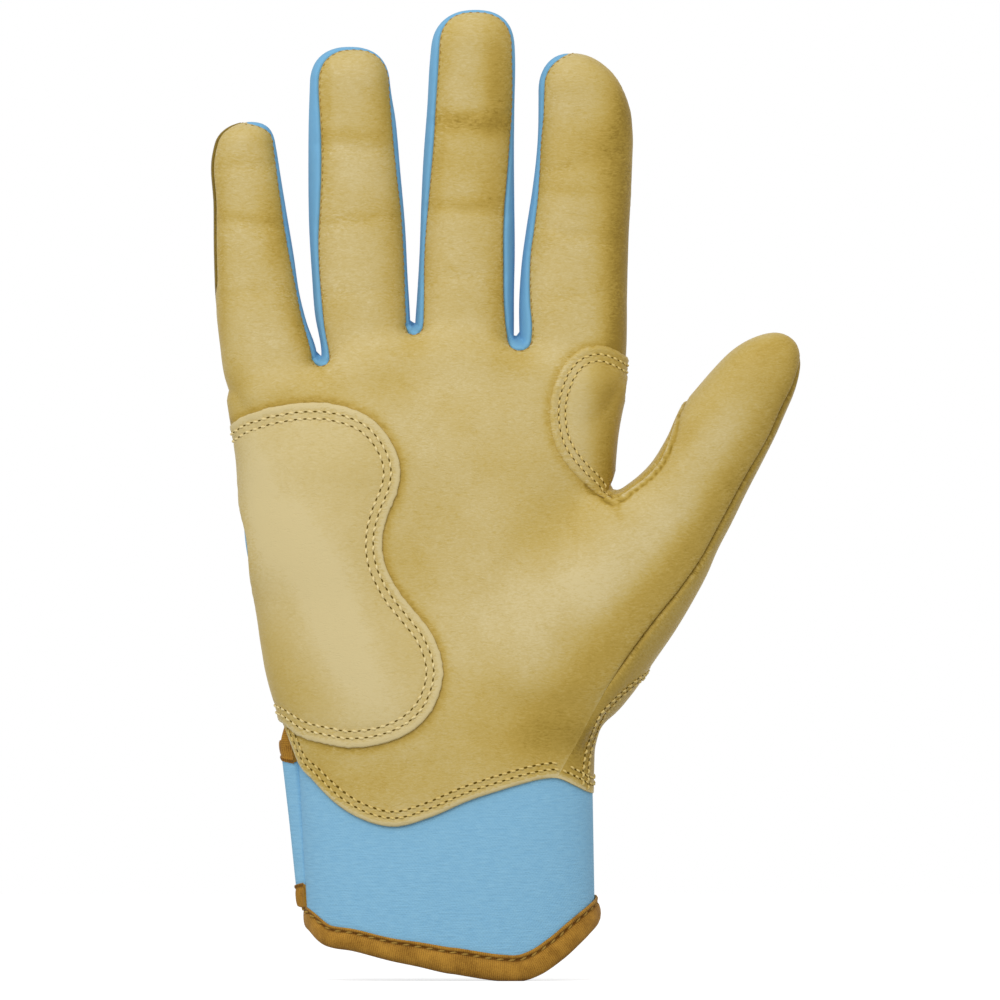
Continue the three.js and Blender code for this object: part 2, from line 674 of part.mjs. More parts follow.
const palmSkin = skin.subtract(sideRegions).subtract(backRegion(seamGap));
add('palm_leather', palmSkin.intersect(aboveWave()), tanLeather);
add('palm_pad', palmPad(), paleLeather);
add('crotch_patch', crotchPatch(), paleLeather);
add('thumb_back', skin.intersect(thumbBackRegion(0)), tanLeather);
add('thumb_gusset', skin.intersect(gussetRegion(0)), paleLeather);
add('little_side_strip', skin.intersect(sideStripRegion(0)), oliveLeather);
for (const [name, near, far] of gaps) {
  add(`fourchette_${name}`, skin.intersect(fourchetteRegion(near, far, 0)), blueFabric);
}
add('back_panel', backSkin.intersect(backPanelHeights), blueFabric);
add('little_finger_back', backSkin.intersect(fingerBackRegion(little)), blueFabric);
add('ring_finger_back', backSkin.intersect(fingerBackRegion(ring)), blueFabric);
add('middle_finger_back', backSkin.intersect(fingerBackRegion(middle)), blueFabric);
add('index_finger_back', backSkin.intersect(fingerBackRegion(index)), blueFabric);
add('cuff', cuff(), blueKnit);
add('hem_binding', hemBinding(), brownBinding);
add('loop_tape', loopTape(), darkTape);
add('strap', strap(), blueKnit);
add('strap_binding', strapBinding(), brownBinding);
add('hook_tape', hookTape(), darkTape);

export default glove;
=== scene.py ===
# A right-hand batting glove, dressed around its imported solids.
# Shapes are worked out in millimetres in the part's own frame, and written in metres.
import math

import bpy
import numpy as np
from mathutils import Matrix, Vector
from mathutils.kdtree import KDTree


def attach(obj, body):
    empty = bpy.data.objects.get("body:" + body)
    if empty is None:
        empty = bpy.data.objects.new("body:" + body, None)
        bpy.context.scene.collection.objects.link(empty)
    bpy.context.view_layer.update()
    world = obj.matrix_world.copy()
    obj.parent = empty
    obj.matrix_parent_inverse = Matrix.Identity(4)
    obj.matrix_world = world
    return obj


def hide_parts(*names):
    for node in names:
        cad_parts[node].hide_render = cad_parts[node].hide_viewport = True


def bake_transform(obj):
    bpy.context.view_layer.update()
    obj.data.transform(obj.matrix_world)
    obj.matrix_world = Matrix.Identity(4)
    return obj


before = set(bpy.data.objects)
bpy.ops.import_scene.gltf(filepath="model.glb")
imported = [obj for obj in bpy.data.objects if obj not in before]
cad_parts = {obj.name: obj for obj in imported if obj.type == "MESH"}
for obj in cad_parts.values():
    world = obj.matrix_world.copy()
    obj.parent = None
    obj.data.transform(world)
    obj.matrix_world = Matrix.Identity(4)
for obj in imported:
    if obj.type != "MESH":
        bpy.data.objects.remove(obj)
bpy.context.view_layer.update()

metres = 0.001


# A smooth curve through rows of (place, value, value, ...), held flat past both ends.
def through(rows, at):
    rows = np.asarray(rows, float)
    place, values = rows[:, 0], rows[:, 1:]
    slope = np.gradient(values, place, axis=0)
    at = np.clip(np.atleast_1d(at), place[0], place[-1])
    row = np.clip(np.searchsorted(place, at, side="right") - 1, 0, len(place) - 2)
    span = (place[row + 1] - place[row])[:, None]
    t = (at - place[row])[:, None] / span
    smooth = ((1 + 2 * t) * (1 - t) ** 2 * values[row] + t * (1 - t) ** 2 * span * slope[row]
              + t * t * (3 - 2 * t) * values[row + 1] + t * t * (t - 1) * span * slope[row + 1])
    return smooth.T


def ease(low, high, value):
    t = np.clip((value - low) / (high - low), 0, 1)
    return t * t * (3 - 2 * t)


# The lesser of two, rounded where they meet.
def melt(a, b, reach):
    t = np.clip(0.5 + 0.5 * (b - a) / reach, 0, 1)
    return b + (a - b) * t - reach * t * (1 - t)


# A bell curve: 1 at no distance, and nearly 0 at twice the reach.
def hump(distance, reach):
    return np.exp(-(distance / reach) ** 2)


def unit(vectors):
    return vectors / np.linalg.norm(vectors, axis=-1, keepdims=True)


def lengthAlong(line):
    return np.concatenate([[0], np.cumsum(np.linalg.norm(np.diff(line, axis=0), axis=1))])


# How far a place is into the rounded end of something: 0 where the end starts, 1 at its tip.
def intoEnd(place, tip, length):
    return np.maximum(0, place - tip + length) / length


# How far a point is outside a rounded body between two edges, with an end of some length.
def rounded(across, left, right, deep, depth, end, length, roundness):
    half = (right - left) / 2
    parts = [np.abs(part) for part in ((across - (left + right) / 2) / half, deep / depth, end)]
    far = np.maximum(sum(part ** roundness for part in parts) ** (1 / roundness), 1e-3)
    steep = sum((part ** (roundness - 1) / reach) ** 2 for part, reach in zip(parts, (half, depth, length)))
    return (far - 1) * far ** (roundness - 1) / np.maximum(np.sqrt(steep), 1e-6)


palm = {
    # height, left edge, right edge, half depth
    "rows": [
        (20, -37.4, 37.6, 18.2), (50, -38.9, 36.5, 18.2), (54, -39.4, 36.6, 18.2), (58, -40.3, 36.8, 18.4),
        (61, -40.8, 37.5, 18.4), (64, -41.3, 38.3, 18.4), (67, -42.0, 38.6, 18.2), (75, -43.7, 40.2, 17.4),
        (85, -45.1, 40.6, 16.8), (95, -46.7, 40.5, 16.2), (105, -49.9, 40.4, 15.8), (115, -51.1, 40.3, 15.4),
        (122, -51.2, 40.6, 15.0), (130, -52.3, 41.0, 14.6), (137, -54.0, 41.7, 13.8), (144, -55.2, 43.0, 12.9),
        (151, -56.3, 44.7, 11.9), (158, -57.1, 44.8, 11.2), (164, -57.4, 44.6, 10.8),
    ],
    "roundness": 2.5,
    "webs": [(-60, 153.5), (-46, 154.5), (-32, 156.3), (-20, 160.5), (-8.6, 163.4), (4, 163.0), (17.3, 160.9),
             (31, 158.5), (46, 157)],
    "webLength": 10,
}
fingers = [
    {   # the little finger: height, left edge, right edge, half depth
        "rows": [(138, -54.0, -33.0, 9.4), (150, -56.0, -32.5, 9.4), (158, -56.9, -33.05, 9.3),
                 (164, -57.6, -35.2, 9.2), (170, -58.1, -36.8, 9.0), (182, -58.55, -38.7, 8.7),
                 (194, -58.65, -40.7, 8.2), (206, -59.0, -42.6, 7.7), (211, -57.7, -43.3, 7.4),
                 (216, -55.6, -42.6, 7.2)],
        "top": 214.5, "cap": 5.6, "seams": [(150, -44.5), (158, -46.3), (214, -50.2)],
        "leather": [(150, -58.6, -33.0), (158, -58.4, -34.6), (166, -57.9, -36.9), (175, -57.8, -38.7),
                    (187, -58.0, -40.9), (196, -58.2, -42.2), (203, -58.3, -43.2), (209, -58.0, -44.0),
                    (214, -57.6, -44.8)],
        "leatherTop": 213.5, "leatherCap": 3.5,
    },
    {   # the ring finger
        "rows": [(138, -31.5, -10.5, 9.6), (150, -31.7, -9.6, 9.6), (158, -31.75, -9.3, 9.5),
                 (166, -33.2, -9.5, 9.4), (176, -34.0, -10.1, 9.3), (188, -34.7, -10.7, 9.0),
                 (203, -34.9, -12.0, 8.7), (215, -34.8, -13.1, 8.3), (224, -34.5, -14.5, 8.0),
                 (233, -34.2, -14.9, 7.7)],
        "top": 233.2, "cap": 8.9, "seams": [(150, -20.5), (161, -21.2), (233, -24.4)],
        "leather": [(150, -29.4, -10.4), (157, -29.7, -10.5), (162.6, -30.7, -10.6), (169, -31.4, -10.9),
                    (175, -31.9, -11.1), (184, -32.3, -11.5), (193, -31.9, -12.1), (200, -31.6, -12.9),
                    (206, -31.5, -13.5), (215, -31.8, -14.3), (222, -32.2, -15.0), (232, -32.0, -15.6)],
        "leatherTop": 232.2, "leatherCap": 8.5,
    },
    {   # the middle finger
        "rows": [(138, -7.0, 16.0, 9.7), (150, -7.6, 16.3, 9.7), (164, -8.2, 16.5, 9.6), (170, -7.8, 16.5, 9.5),
                 (182, -7.1, 16.7, 9.3), (194, -6.7, 16.6, 9.0), (206, -6.1, 16.5, 8.8), (218, -5.2, 16.6, 8.4),
                 (230, -4.5, 16.8, 8.1), (236, -3.9, 16.6, 7.9), (243, -3.1, 16.9, 7.7)],
        "top": 242.4, "cap": 9.3, "seams": [(150, 4), (161, 4), (242, 6.1)],
        "leather": [(150, -5.9, 15.2), (158, -6.1, 15.2), (163, -6.1, 14.4), (169, -5.9, 13.9),
                    (178, -5.8, 13.75), (187, -5.4, 13.75), (193, -4.9, 14.0), (200, -4.3, 14.6),
                    (209, -3.5, 15.2), (218, -3.0, 15.7), (225, -2.5, 15.8), (232, -2.1, 15.7),
                    (240, -1.8, 15.4)],
        "leatherTop": 241.5, "leatherCap": 8.2,
    },
    {   # the index finger
        "rows": [(138, 18.4, 41.8, 9.8), (150, 18.0, 44.0, 9.8), (158, 17.9, 44.6, 9.7),
                 (170, 17.8, 44.75, 9.6), (179, 18.4, 45.0, 9.4), (188, 19.6, 45.25, 9.3),
                 (197, 21.0, 45.8, 9.1), (206, 22.1, 46.1, 8.9), (212, 22.5, 46.2, 8.6), (218, 22.6, 45.4, 8.3),
                 (222, 22.6, 44.0, 8.1), (226, 22.6, 42.2, 7.9), (232, 22.5, 39.2, 7.7)],
        "top": 231.6, "cap": 9.6, "seams": [(150, 30.5), (161, 31), (220, 32.5), (231, 30.2)],
        "leather": [(150, 20.6, 48), (159, 20.8, 48), (163, 21.1, 48), (168, 20.7, 48), (174, 20.5, 48),
                    (182, 20.8, 48), (187, 21.5, 48), (195, 22.5, 48), (203, 23.1, 48), (210, 23.5, 48),
                    (216, 24.0, 48), (223, 24.2, 48), (232, 24.4, 47)],
        "leatherTop": 231.4, "leatherCap": 8.6,
    },
]
fingerRoot = {"top": 156, "length": 18, "middle": 180, "roundness": 2.35, "curl": 7, "from": 161, "reach": 81.2}
thumb = {
    "rootX": 29, "rootZ": 80, "angle": math.radians(34.4), "forward": 10, "length": 98.4,
    # distance from the ball, inner edge, outer edge, half depth
    "rows": [
        (-40, -10.0, 11.0, 8.0), (-20, -14.0, 13.6, 11.0), (-9, -16.8, 16.6, 13.0), (-4, -17.6, 18.1, 13.9),
        (3, -18.4, 18.9, 15.0), (12, -18.6, 18.8, 15.3), (22, -18.2, 18.8, 14.8), (30, -17.2, 18.3, 13.8),
        (38, -15.2, 17.4, 12.4), (44, -12.2, 16.2, 11.4), (52, -10.0, 15.2, 10.9), (60, -10.2, 14.0, 10.5),
        (68, -11.5, 13.0, 10.2), (76, -10.9, 11.9, 9.7), (84, -9.9, 10.4, 9.0), (90, -8.7, 9.4, 8.3),
        (95, -7.4, 8.7, 7.8), (100, -6.0, 8.0, 7.4),
    ],
    "roundness": 2.3, "cap": 14, "root": 16, "rootTop": -6, "middle": 30,
}
# Soft fullness and hollows of the palm side: x, z, reach across, reach up, depth of the hollow.
hollows = [
    (-3, 104, 17, 26, 2.2), (-31, 92, 13, 28, -0.5), (8, 141, 9, 8, -0.5), (-20, 143, 9, 8, -0.5),
    (31, 112, 7, 16, 0.9), (-44, 146, 7, 7, -0.4), (13, 63, 20, 9, 0.8),
]
creaseShape = {"half": 12.5, "fadeTo": 9.5, "bend": 4, "waver": 0.6, "reach": 1.5,
               "second": 3.4, "secondReach": 1.1, "secondShare": 0.35, "depth": 0.6}
# Creases at the finger joints: finger, height, slope, depth.
creases = [
    (0, 203.5, 0.02, 0.35), (0, 189, -0.03, 0.4), (0, 172, 0.02, 0.25),
    (1, 208, -0.03, 0.4), (1, 190, 0.03, 0.35), (1, 172, 0.0, 0.25),
    (2, 215.5, 0.03, 0.6), (2, 192.5, -0.02, 0.5), (2, 176, 0.02, 0.25),
    (3, 204, 0.06, 0.4), (3, 186, -0.05, 0.45), (3, 171, 0.03, 0.25),
]
# How softly fingers and thumb run into the palm, and how much more over the edges of the hand.
joins = {"finger": 0.7, "fingerEdge": 4.5, "fingerDeep": (5, 10), "thumb": 3.4, "thumbLow": -1.6,
         "thumbLowZ": (75, 68), "thumbEdge": 9, "thumbDeep": (5, 12), "front": (0, 5)}


def curlAt(height):
    return -fingerRoot["curl"] * (np.maximum(0, height - fingerRoot["from"]) / fingerRoot["reach"]) ** 2


def thumbPlace(points):
    x, z = points[:, 0] - thumb["rootX"], points[:, 2] - thumb["rootZ"]
    sine, cosine = math.sin(thumb["angle"]), math.cos(thumb["angle"])
    along, aside = x * sine + z * cosine, x * cosine - z * sine
    forward = -thumb["forward"] * (np.maximum(0, along) / thumb["length"]) ** 1.5
    return along, aside, points[:, 1] - forward


def palmField(points):
    x, y, z = points.T
    left, right, depth = through(palm["rows"], z)
    end = intoEnd(z, through(palm["webs"], x)[0], palm["webLength"])
    return rounded(x, left, right, y, depth, end, palm["webLength"], palm["roundness"])


def fingerField(points, finger):
    x, y, z = points.T
    left, right, depth = through(finger["rows"], z)
    root = np.maximum(0, fingerRoot["top"] - z) / fingerRoot["length"]
    end = np.maximum(intoEnd(z, finger["top"], finger["cap"]), root)
    length = np.where(z > fingerRoot["middle"], finger["cap"], fingerRoot["length"])
    return rounded(x, left, right, y - curlAt(z), depth, end, length, fingerRoot["roundness"])


def thumbField(points):
    along, aside, deep = thumbPlace(points)
    inner, outer, depth = through(thumb["rows"], along)
    root = np.maximum(0, thumb["rootTop"] - along) / thumb["root"]
    end = np.maximum(intoEnd(along, thumb["length"], thumb["cap"]), root)
    length = np.where(along > thumb["middle"], thumb["cap"], thumb["root"])
    return rounded(aside, inner, outer, deep, depth, end, length, thumb["roundness"])


def handField(points):
    x, y, z = points.T
    field = palmField(points)
    reach = joins["finger"] + joins["fingerEdge"] * ease(*joins["fingerDeep"], np.abs(y - curlAt(z)))
    for finger in fingers:
        field = melt(field, fingerField(points, finger), reach)
    reach = (joins["thumb"] + joins["thumbLow"] * ease(*joins["thumbLowZ"], z)
             + joins["thumbEdge"] * ease(*joins["thumbDeep"], np.abs(y)))
    field = melt(field, thumbField(points), reach)
    front = ease(*joins["front"], curlAt(z) - y)
    for cx, cz, rx, rz, deep in hollows:
        field = field + deep * front * hump(x - cx, rx) * hump(z - cz, rz)
    for place, height, slope, deep in creases:
        how, middle = creaseShape, through(fingers[place]["seams"], z)[0]
        bend = height + slope * (x - middle) * how["bend"] + how["waver"] * np.sin(x * 0.7 + place)
        near = (hump(z - bend, how["reach"])
                + how["secondShare"] * hump(z - bend - how["second"], how["secondReach"]))
        near = near * ease(how["half"], how["fadeTo"], np.abs(x - middle))
        field = field + how["depth"] * deep * front * near
    return field


def slopeOf(field, points, value, small=0.04):
    return np.stack([(field(points + small * axis) - value) / small for axis in np.eye(3)], 1)


# Moves points onto the surface where a field is zero, and gives its outward direction there.
def settle(field, points, rounds=2):
    for _ in range(rounds):
        value = field(points)
        slope = slopeOf(field, points, value)
        steep = (slope ** 2).sum(1)
        points = points - (value / np.maximum(steep, 0.05))[:, None].clip(-1, 1) * slope
    return points, unit(slopeOf(field, points, field(points)))


# The zero surface of a field as triangles, one point in each cell of a grid that it crosses.
def skinOf(field, low, high, step):
    axes = [np.arange(a, b, step) for a, b in zip(low, high)]
    size = tuple(len(axis) for axis in axes)
    grid = np.stack(np.meshgrid(*axes, indexing="ij"), -1).reshape(-1, 3)
    value = np.concatenate([field(part) for part in np.array_split(grid, 12)]).reshape(size)
    total, count, quads = np.zeros(size + (3,)), np.zeros(size), []
    for axis in range(3):
        one, two = [slice(None)] * 3, [slice(None)] * 3
        one[axis], two[axis] = slice(0, -1), slice(1, None)
        a, b = value[tuple(one)], value[tuple(two)]
        cell = np.argwhere((a < 0) != (b < 0))
        u, v = [other for other in range(3) if other != axis]
        cell = cell[(cell[:, u] > 0) & (cell[:, v] > 0)]
        start, end = value[tuple(cell.T)], value[tuple((cell + np.eye(3, dtype=int)[axis]).T)]
        place = cell.astype(float)
        place[:, axis] += start / (start - end)
        corners = []
        for du, dv in ((0, 0), (1, 0), (1, 1), (0, 1)):
            beside = cell.copy()
            beside[:, u] -= du
            beside[:, v] -= dv
            np.add.at(total, tuple(beside.T), place)
            np.add.at(count, tuple(beside.T), 1)
            corners.append(np.ravel_multi_index(tuple(beside.T), size))
        quad = np.stack(corners, 1)
        turn = (start < 0) ^ (axis == 1)
        quads.append(np.where(turn[:, None], quad, quad[:, ::-1]))
    quads = np.concatenate(quads)
    used, quads = np.unique(quads, return_inverse=True)
    quads = quads.reshape(-1, 4)
    points = (total.reshape(-1, 3)[used] / count.reshape(-1)[used, None]) * step + np.array(low)
    short = (np.linalg.norm(points[quads[:, 0]] - points[quads[:, 2]], axis=1)
             < np.linalg.norm(points[quads[:, 1]] - points[quads[:, 3]], axis=1))
    faces = np.concatenate([quads[short][:, [0, 1, 2]], quads[short][:, [0, 2, 3]],
                            quads[~short][:, [0, 1, 3]], quads[~short][:, [1, 2, 3]]])
    return points, faces


def edgesOf(faces):
    return np.concatenate([faces[:, [0, 1]], faces[:, [1, 2]], faces[:, [2, 0]]])


def relax(points, faces, share):
    ends = edgesOf(faces)
    ends = np.concatenate([ends, ends[:, ::-1]])
    total, count = np.zeros_like(points), np.zeros(len(points))
    np.add.at(total, ends[:, 0], points[ends[:, 1]])
    np.add.at(count, ends[:, 0], 1)
    return points + share * (total / count[:, None] - points)


skinGrid = {"low": (-62, -25, 33), "high": (92, 22, 246), "step": 1.25}
points, faces = skinOf(handField, **skinGrid)
for _ in range(2):
    points, _ = settle(handField, relax(points, faces, 0.5), 1)
points, outward = settle(handField, points, 3)
skin = {"points": points, "outward": outward, "faces": faces}
print("skin over the hand:", len(points), "points")

snap = 0.02  # points this near a level count as on it
farAway = 99.0  # where there is no edge to be near to
leastThickness, innerGap, shortRun = 0.25, 0.1, 6


# Adds points where a value passes a level, so that edges run along it.
def splitAt(mesh, value, level):
    side = value - level
    side = np.where(np.abs(side) < snap, 0.0, side)
    faces = mesh["faces"]
    ends = np.stack([faces, np.roll(faces, -1, 1)], 2)
    crosses = side[ends[..., 0]] * side[ends[..., 1]] < 0
    low, high = np.sort(ends[crosses], 1).T
    keys, back = np.unique(low * len(side) + high, return_inverse=True)
    low, high = keys // len(side), keys % len(side)
    share = side[low] / (side[low] - side[high])
    added = {}
    for name, data in mesh.items():
        if name != "faces":
            part = share.reshape((-1,) + (1,) * (data.ndim - 1))
            added[name] = np.concatenate([data, data[low] + (data[high] - data[low]) * part])
    newSide = np.concatenate([side, np.zeros(len(keys))])
    middle = np.full(faces.shape, -1)
    middle[crosses] = len(side) + back.reshape(-1)
    whole = faces[~crosses.any(1)]
    made = [whole]
    for corner in range(3):
        a, b, c = (faces[:, (corner + i) % 3] for i in range(3))
        ab, bc, ca = (middle[:, (corner + i) % 3] for i in range(3))
        two = (ab >= 0) & (ca >= 0)
        made += [np.stack([a, ab, ca], 1)[two], np.stack([ab, b, c], 1)[two], np.stack([ab, c, ca], 1)[two]]
        one = (bc >= 0) & (ab < 0) & (ca < 0)
        made += [np.stack([a, b, bc], 1)[one], np.stack([a, bc, c], 1)[one]]
    added["faces"] = np.concatenate(made)
    return added, newSide


def tidyMesh(mesh):
    used, faces = np.unique(mesh["faces"], return_inverse=True)
    kept = {name: data[used] for name, data in mesh.items() if name != "faces"}
    kept["faces"] = faces.reshape(-1, 3)
    return kept


def cutTo(mesh, field):
    mesh, side = splitAt(mesh, field(mesh["points"]), 0)
    corner = side[mesh["faces"]]
    mesh["faces"] = mesh["faces"][(corner.min(1) >= 0) & (corner.max(1) > 0)]
    return tidyMesh(mesh)


def largestPart(mesh):
    faces = mesh["faces"]
    label = np.arange(len(mesh["points"]))
    while True:
        least = label[faces].min(1)
        new = label.copy()
        for corner in range(3):
            np.minimum.at(new, faces[:, corner], least)
        new = np.minimum(new, new[new])
        if (new == label).all():
            break
        label = new
    names, counts = np.unique(label[faces[:, 0]], return_counts=True)
    mesh["faces"] = faces[label[faces[:, 0]] == names[counts.argmax()]]
    return tidyMesh(mesh)


def rimOf(faces):
    ends = edgesOf(faces)
    _, first, counts = np.unique(np.sort(ends, 1), axis=0, return_index=True, return_counts=True)
    return ends[first[counts == 1]]


def farFrom(edges, points):
    if not len(edges):
        return np.full(len(points), farAway)
    share = np.linspace(0, 1, 4)[:-1, None, None]
    line = (points[edges[:, 0]] * (1 - share) + points[edges[:, 1]] * share).reshape(-1, 3)
    tree = KDTree(len(line))
    for i, place in enumerate(line):
        tree.insert(place, i)
    tree.balance()
    return np.array([tree.find(place)[2] for place in points])


# Chains loose edges into runs of points.
def chains(edges):
    beside = {}
    for a, b in edges:
        beside.setdefault(int(a), []).append(int(b))
        beside.setdefault(int(b), []).append(int(a))
    runs, seen = [], set()
    starts = [p for p in beside if len(beside[p]) == 1] + list(beside)
    for start in starts:
        if start in seen:
            continue
        run = [start]
        seen.add(start)
        while True:
            ahead = [q for q in beside[run[-1]] if q not in seen]
            if not ahead:
                break
            run.append(ahead[0])
            seen.add(ahead[0])
        if start in beside[run[-1]] and len(run) > 2:
            run.append(start)
        runs.append(run)
    return runs


# The runs of points along a level of a mesh.
def onLevel(mesh, on):
    ends = edgesOf(mesh["faces"])
    ends = np.unique(np.sort(ends[on[ends].all(1)], 1), axis=0)
    return [run for run in chains(ends) if len(run) > shortRun]


# How an edge is shaped: distance from the edge, height over the skin.
turnedEdge = [(0, -0.8), (0.3, -0.42), (0.7, -0.12), (1.2, 0.03), (2.5, 0)]
softEdge = [(0, -0.5), (0.25, -0.2), (0.6, -0.02), (1.2, 0.03), (2, 0)]
rawEdge = [(0, -0.28), (0.15, -0.06), (0.4, 0.02), (1, 0)]
flatEdge = [(0, 0), (1, 0)]


# A panel of the skin: where its fields are all positive, with its edges shaped and its inside closed.
# Each field comes with the shape of the edge that it leaves. Rows run at a distance from one kind of edge,
# and tracks where a field of their own is zero. Both give lines to sew along.
def cutPanel(name, keep, thickness=1.0, lift=None, rows=(), tracks=(), finer=(0.3, 0.8), base=None, faint=None):
    mesh = dict(base or skin)
    for field, _ in keep:
        mesh = cutTo(mesh, field)
    mesh = largestPart(mesh)
    rim = rimOf(mesh["faces"])
    middle = mesh["points"][rim].mean(1)
    kind = np.abs(np.stack([field(middle) for field, _ in keep])).argmin(0)
    profiles = []
    for _, profile in keep:
        if profile not in profiles:
            profiles.append(profile)
    flat = mesh["points"]
    mesh["edge"] = farFrom(rim[[keep[k][1] != flatEdge for k in kind]], flat)
    for place, profile in enumerate(profiles):
        mesh[f"edge{place}"] = farFrom(rim[[keep[k][1] == profile for k in kind]], flat)
    for level in finer:
        mesh, _ = splitAt(mesh, mesh["edge"], level)
    lines = []
    for profile, level in rows:
        key = f"edge{profiles.index(profile)}"
        mesh, _ = splitAt(mesh, mesh[key], level)
        lines.append(onLevel(mesh, np.abs(mesh[key] - level) < 1.05 * snap))
    for field, level in tracks:
        mesh, side = splitAt(mesh, field(mesh["points"]), level)
        lines.append(onLevel(mesh, np.abs(side) < 1e-9))
    flat, outward = mesh["points"], mesh["outward"]
    lifts = lift(flat) if lift else np.zeros(len(flat))
    thickness = lifts - innerGap if lift else thickness
    height = lifts.copy()
    for place, profile in enumerate(profiles):
        height += np.interp(mesh[f"edge{place}"], *zip(*profile)) * (faint(flat) if faint else 1)
    top = flat + outward * height[:, None]
    under = flat + outward * np.minimum(lifts - thickness, height - leastThickness)[:, None]
    rim, count = rimOf(mesh["faces"]), len(top)
    faces = np.concatenate([
        mesh["faces"], mesh["faces"][:, ::-1] + count,
        np.stack([rim[:, 1], rim[:, 0], rim[:, 0] + count], 1),
        np.stack([rim[:, 1], rim[:, 0] + count, rim[:, 1] + count], 1),
    ])
    print("panel", name, len(faces), "triangles")
    both = lambda data: np.concatenate([data, data])
    return {
        "name": name, "points": np.concatenate([top, under]), "faces": faces,
        "outward": both(outward), "edge": both(mesh["edge"]),
        "under": np.concatenate([np.zeros(count), np.ones(count)]),
        "lines": [[(top[run], outward[run]) for run in group] for group in lines],
        "away": [(profile, both(mesh[f"edge{place}"])) for place, profile in enumerate(profiles)],
    }


seamRoom, thumbRoom = 0.018, 0.07  # half the width of the line that a seam leaves open
fadingSeams = {"wristX": (24, 28), "wristZ": (82, 68), "wristY": (3, -1), "tipX": (60, 66), "tipZ": (150, 157),
               "tipShare": 0.8, "fingerTop": (4, 1.5), "fingerReach": 3, "fingerShare": 0.9, "most": 0.97}


# The thumb's front seam fades into a soft ridge towards the wrist and at its tip, and the seams over the
# outer fingertips lie flat.
def seamDepth(points):
    x, y, z = points.T
    how = fadingSeams
    near = (ease(*how["wristX"], x) * ease(*how["wristZ"], z) * ease(*how["wristY"], y)
            + how["tipShare"] * ease(*how["tipX"], x) * ease(*how["tipZ"], z))
    for finger in (fingers[0], fingers[3]):
        seam = through(finger["seams"], z)[0]
        low, high = (finger["top"] - below for below in how["fingerTop"])
        near = near + how["fingerShare"] * hump(x - seam, how["fingerReach"]) * ease(low, high, z)
    return 1 - near.clip(0, how["most"])


# Where the blue back begins, seen from the side: its depth at the palm, and its share of the fingers' depth.
backSeam = {
    "palm": 3.0, "share": 0.56, "depths": [(161, 9.5), (185, 9.0), (242, 7.8)], "fingersFrom": (149, 158),
    "indexShare": 0.5, "indexX": (38, 43), "indexZ": (160, 168), "leftX": (-42, -46),
    # at the little finger's side: height, depth
    "left": [(62, 3), (90, 2.4), (96, -1.0), (103, -4.6), (113, -4.8), (120, -1), (129, 3)],
}
wallInset = 0.6  # the leather reaches this much further over the blue than its outline
webBottoms = [(-31.7, 155.7, 2.4), (-8.55, 163.4, 2.3), (17.9, 160.4, 3.2)]  # x, z and radius of each blue U
walls = {"borders": [-20.5, 4.5], "bottom": 150, "backBelow": 3, "onBack": (-0.5, 2)}
thumbSeam = {
    # distance from the ball, how far aside the front seam runs
    "outer": [(-30, 15.5), (-20, 14.7), (-13.7, 14.2), (-7.2, 13.4), (-1, 12.9), (5, 12.9), (11, 13.0),
              (22, 13.5), (31, 14.2), (40, 14.3), (50, 13.3), (62, 12.0), (76, 10.8), (83, 9.5), (88, 8.8),
              (92, 7.7), (95, 6.4), (97.5, 4.6), (99.5, 2.6)],
    "inset": 1.3, "from": 40.5, "to": 69, "bottom": 47.6, "share": 0.6, "left": 25.8, "turn": (5, 0.5),
    "backReach": 17, "gussetReach": 19, "fade": 16, "side": 3,
}
wave = [(-60, 72), (-46, 70.5), (-41.6, 64.6), (-39.4, 58.8), (-37.6, 54.2), (-34, 50.0), (-28.2, 44.3),
        (-20.7, 40), (-13.3, 38.5), (-4.5, 40.8), (5.6, 45.1), (12, 47.2), (18, 49.0), (24, 50.4), (27.5, 50.6),
        (31.8, 48.8), (35.5, 47.0), (42, 46.2), (60, 46)]


def behind(points):
    x, y, z = points.T
    depth = through(backSeam["depths"], z)[0]
    onIndex = ease(*backSeam["indexX"], x) * ease(*backSeam["indexZ"], z)
    share = backSeam["share"] - backSeam["indexShare"] * onIndex
    atLeft = ease(*backSeam["leftX"], x)
    side = backSeam["palm"] + (through(backSeam["left"], z)[0] - backSeam["palm"]) * atLeft
    onFinger = ease(*backSeam["fingersFrom"], z)
    return y - side * (1 - onFinger) - (curlAt(z) + share * depth) * onFinger


def leatherOutline(points, finger):
    x, _, z = points.T
    left, right = through(finger["leather"], z)
    half = (right - left) / 2
    end = intoEnd(z, finger["leatherTop"], finger["leatherCap"])
    return rounded(x, left, right, 0 * x, half, end, finger["leatherCap"], 2.5)


# How far right of a finger's middle line a point is, or left of it where the way is -1.
def besideMiddle(place, way=1):
    return lambda points: way * (points[:, 0] - through(fingers[place]["seams"], points[:, 2])[0])


# The blue walls beside the fingers, seen from the palm as three narrow Us joined over the fingertips.
def blueWalls(points):
    x, y, z = points.T
    sides = np.min([leatherOutline(points, finger) for finger in fingers], 0)
    webX, webZ, radius = np.array(webBottoms)[np.searchsorted(walls["borders"], x)].T
    cup = radius - np.hypot(x - webX, z - webZ)
    front = np.where(z < webZ, np.minimum(sides, cup), sides) - wallInset
    onBack = ease(*walls["onBack"], y - curlAt(z))
    shape = front * (1 - onBack) + (z - webZ + walls["backBelow"]) * onBack
    return np.min([shape, z - walls["bottom"], besideMiddle(0)(points), besideMiddle(3, -1)(points)], 0)


strip = {"inset": 0.45, "bottom": 160.5, "narrow": 2.8, "narrowFrom": 176, "narrowTo": 160, "right": -51}


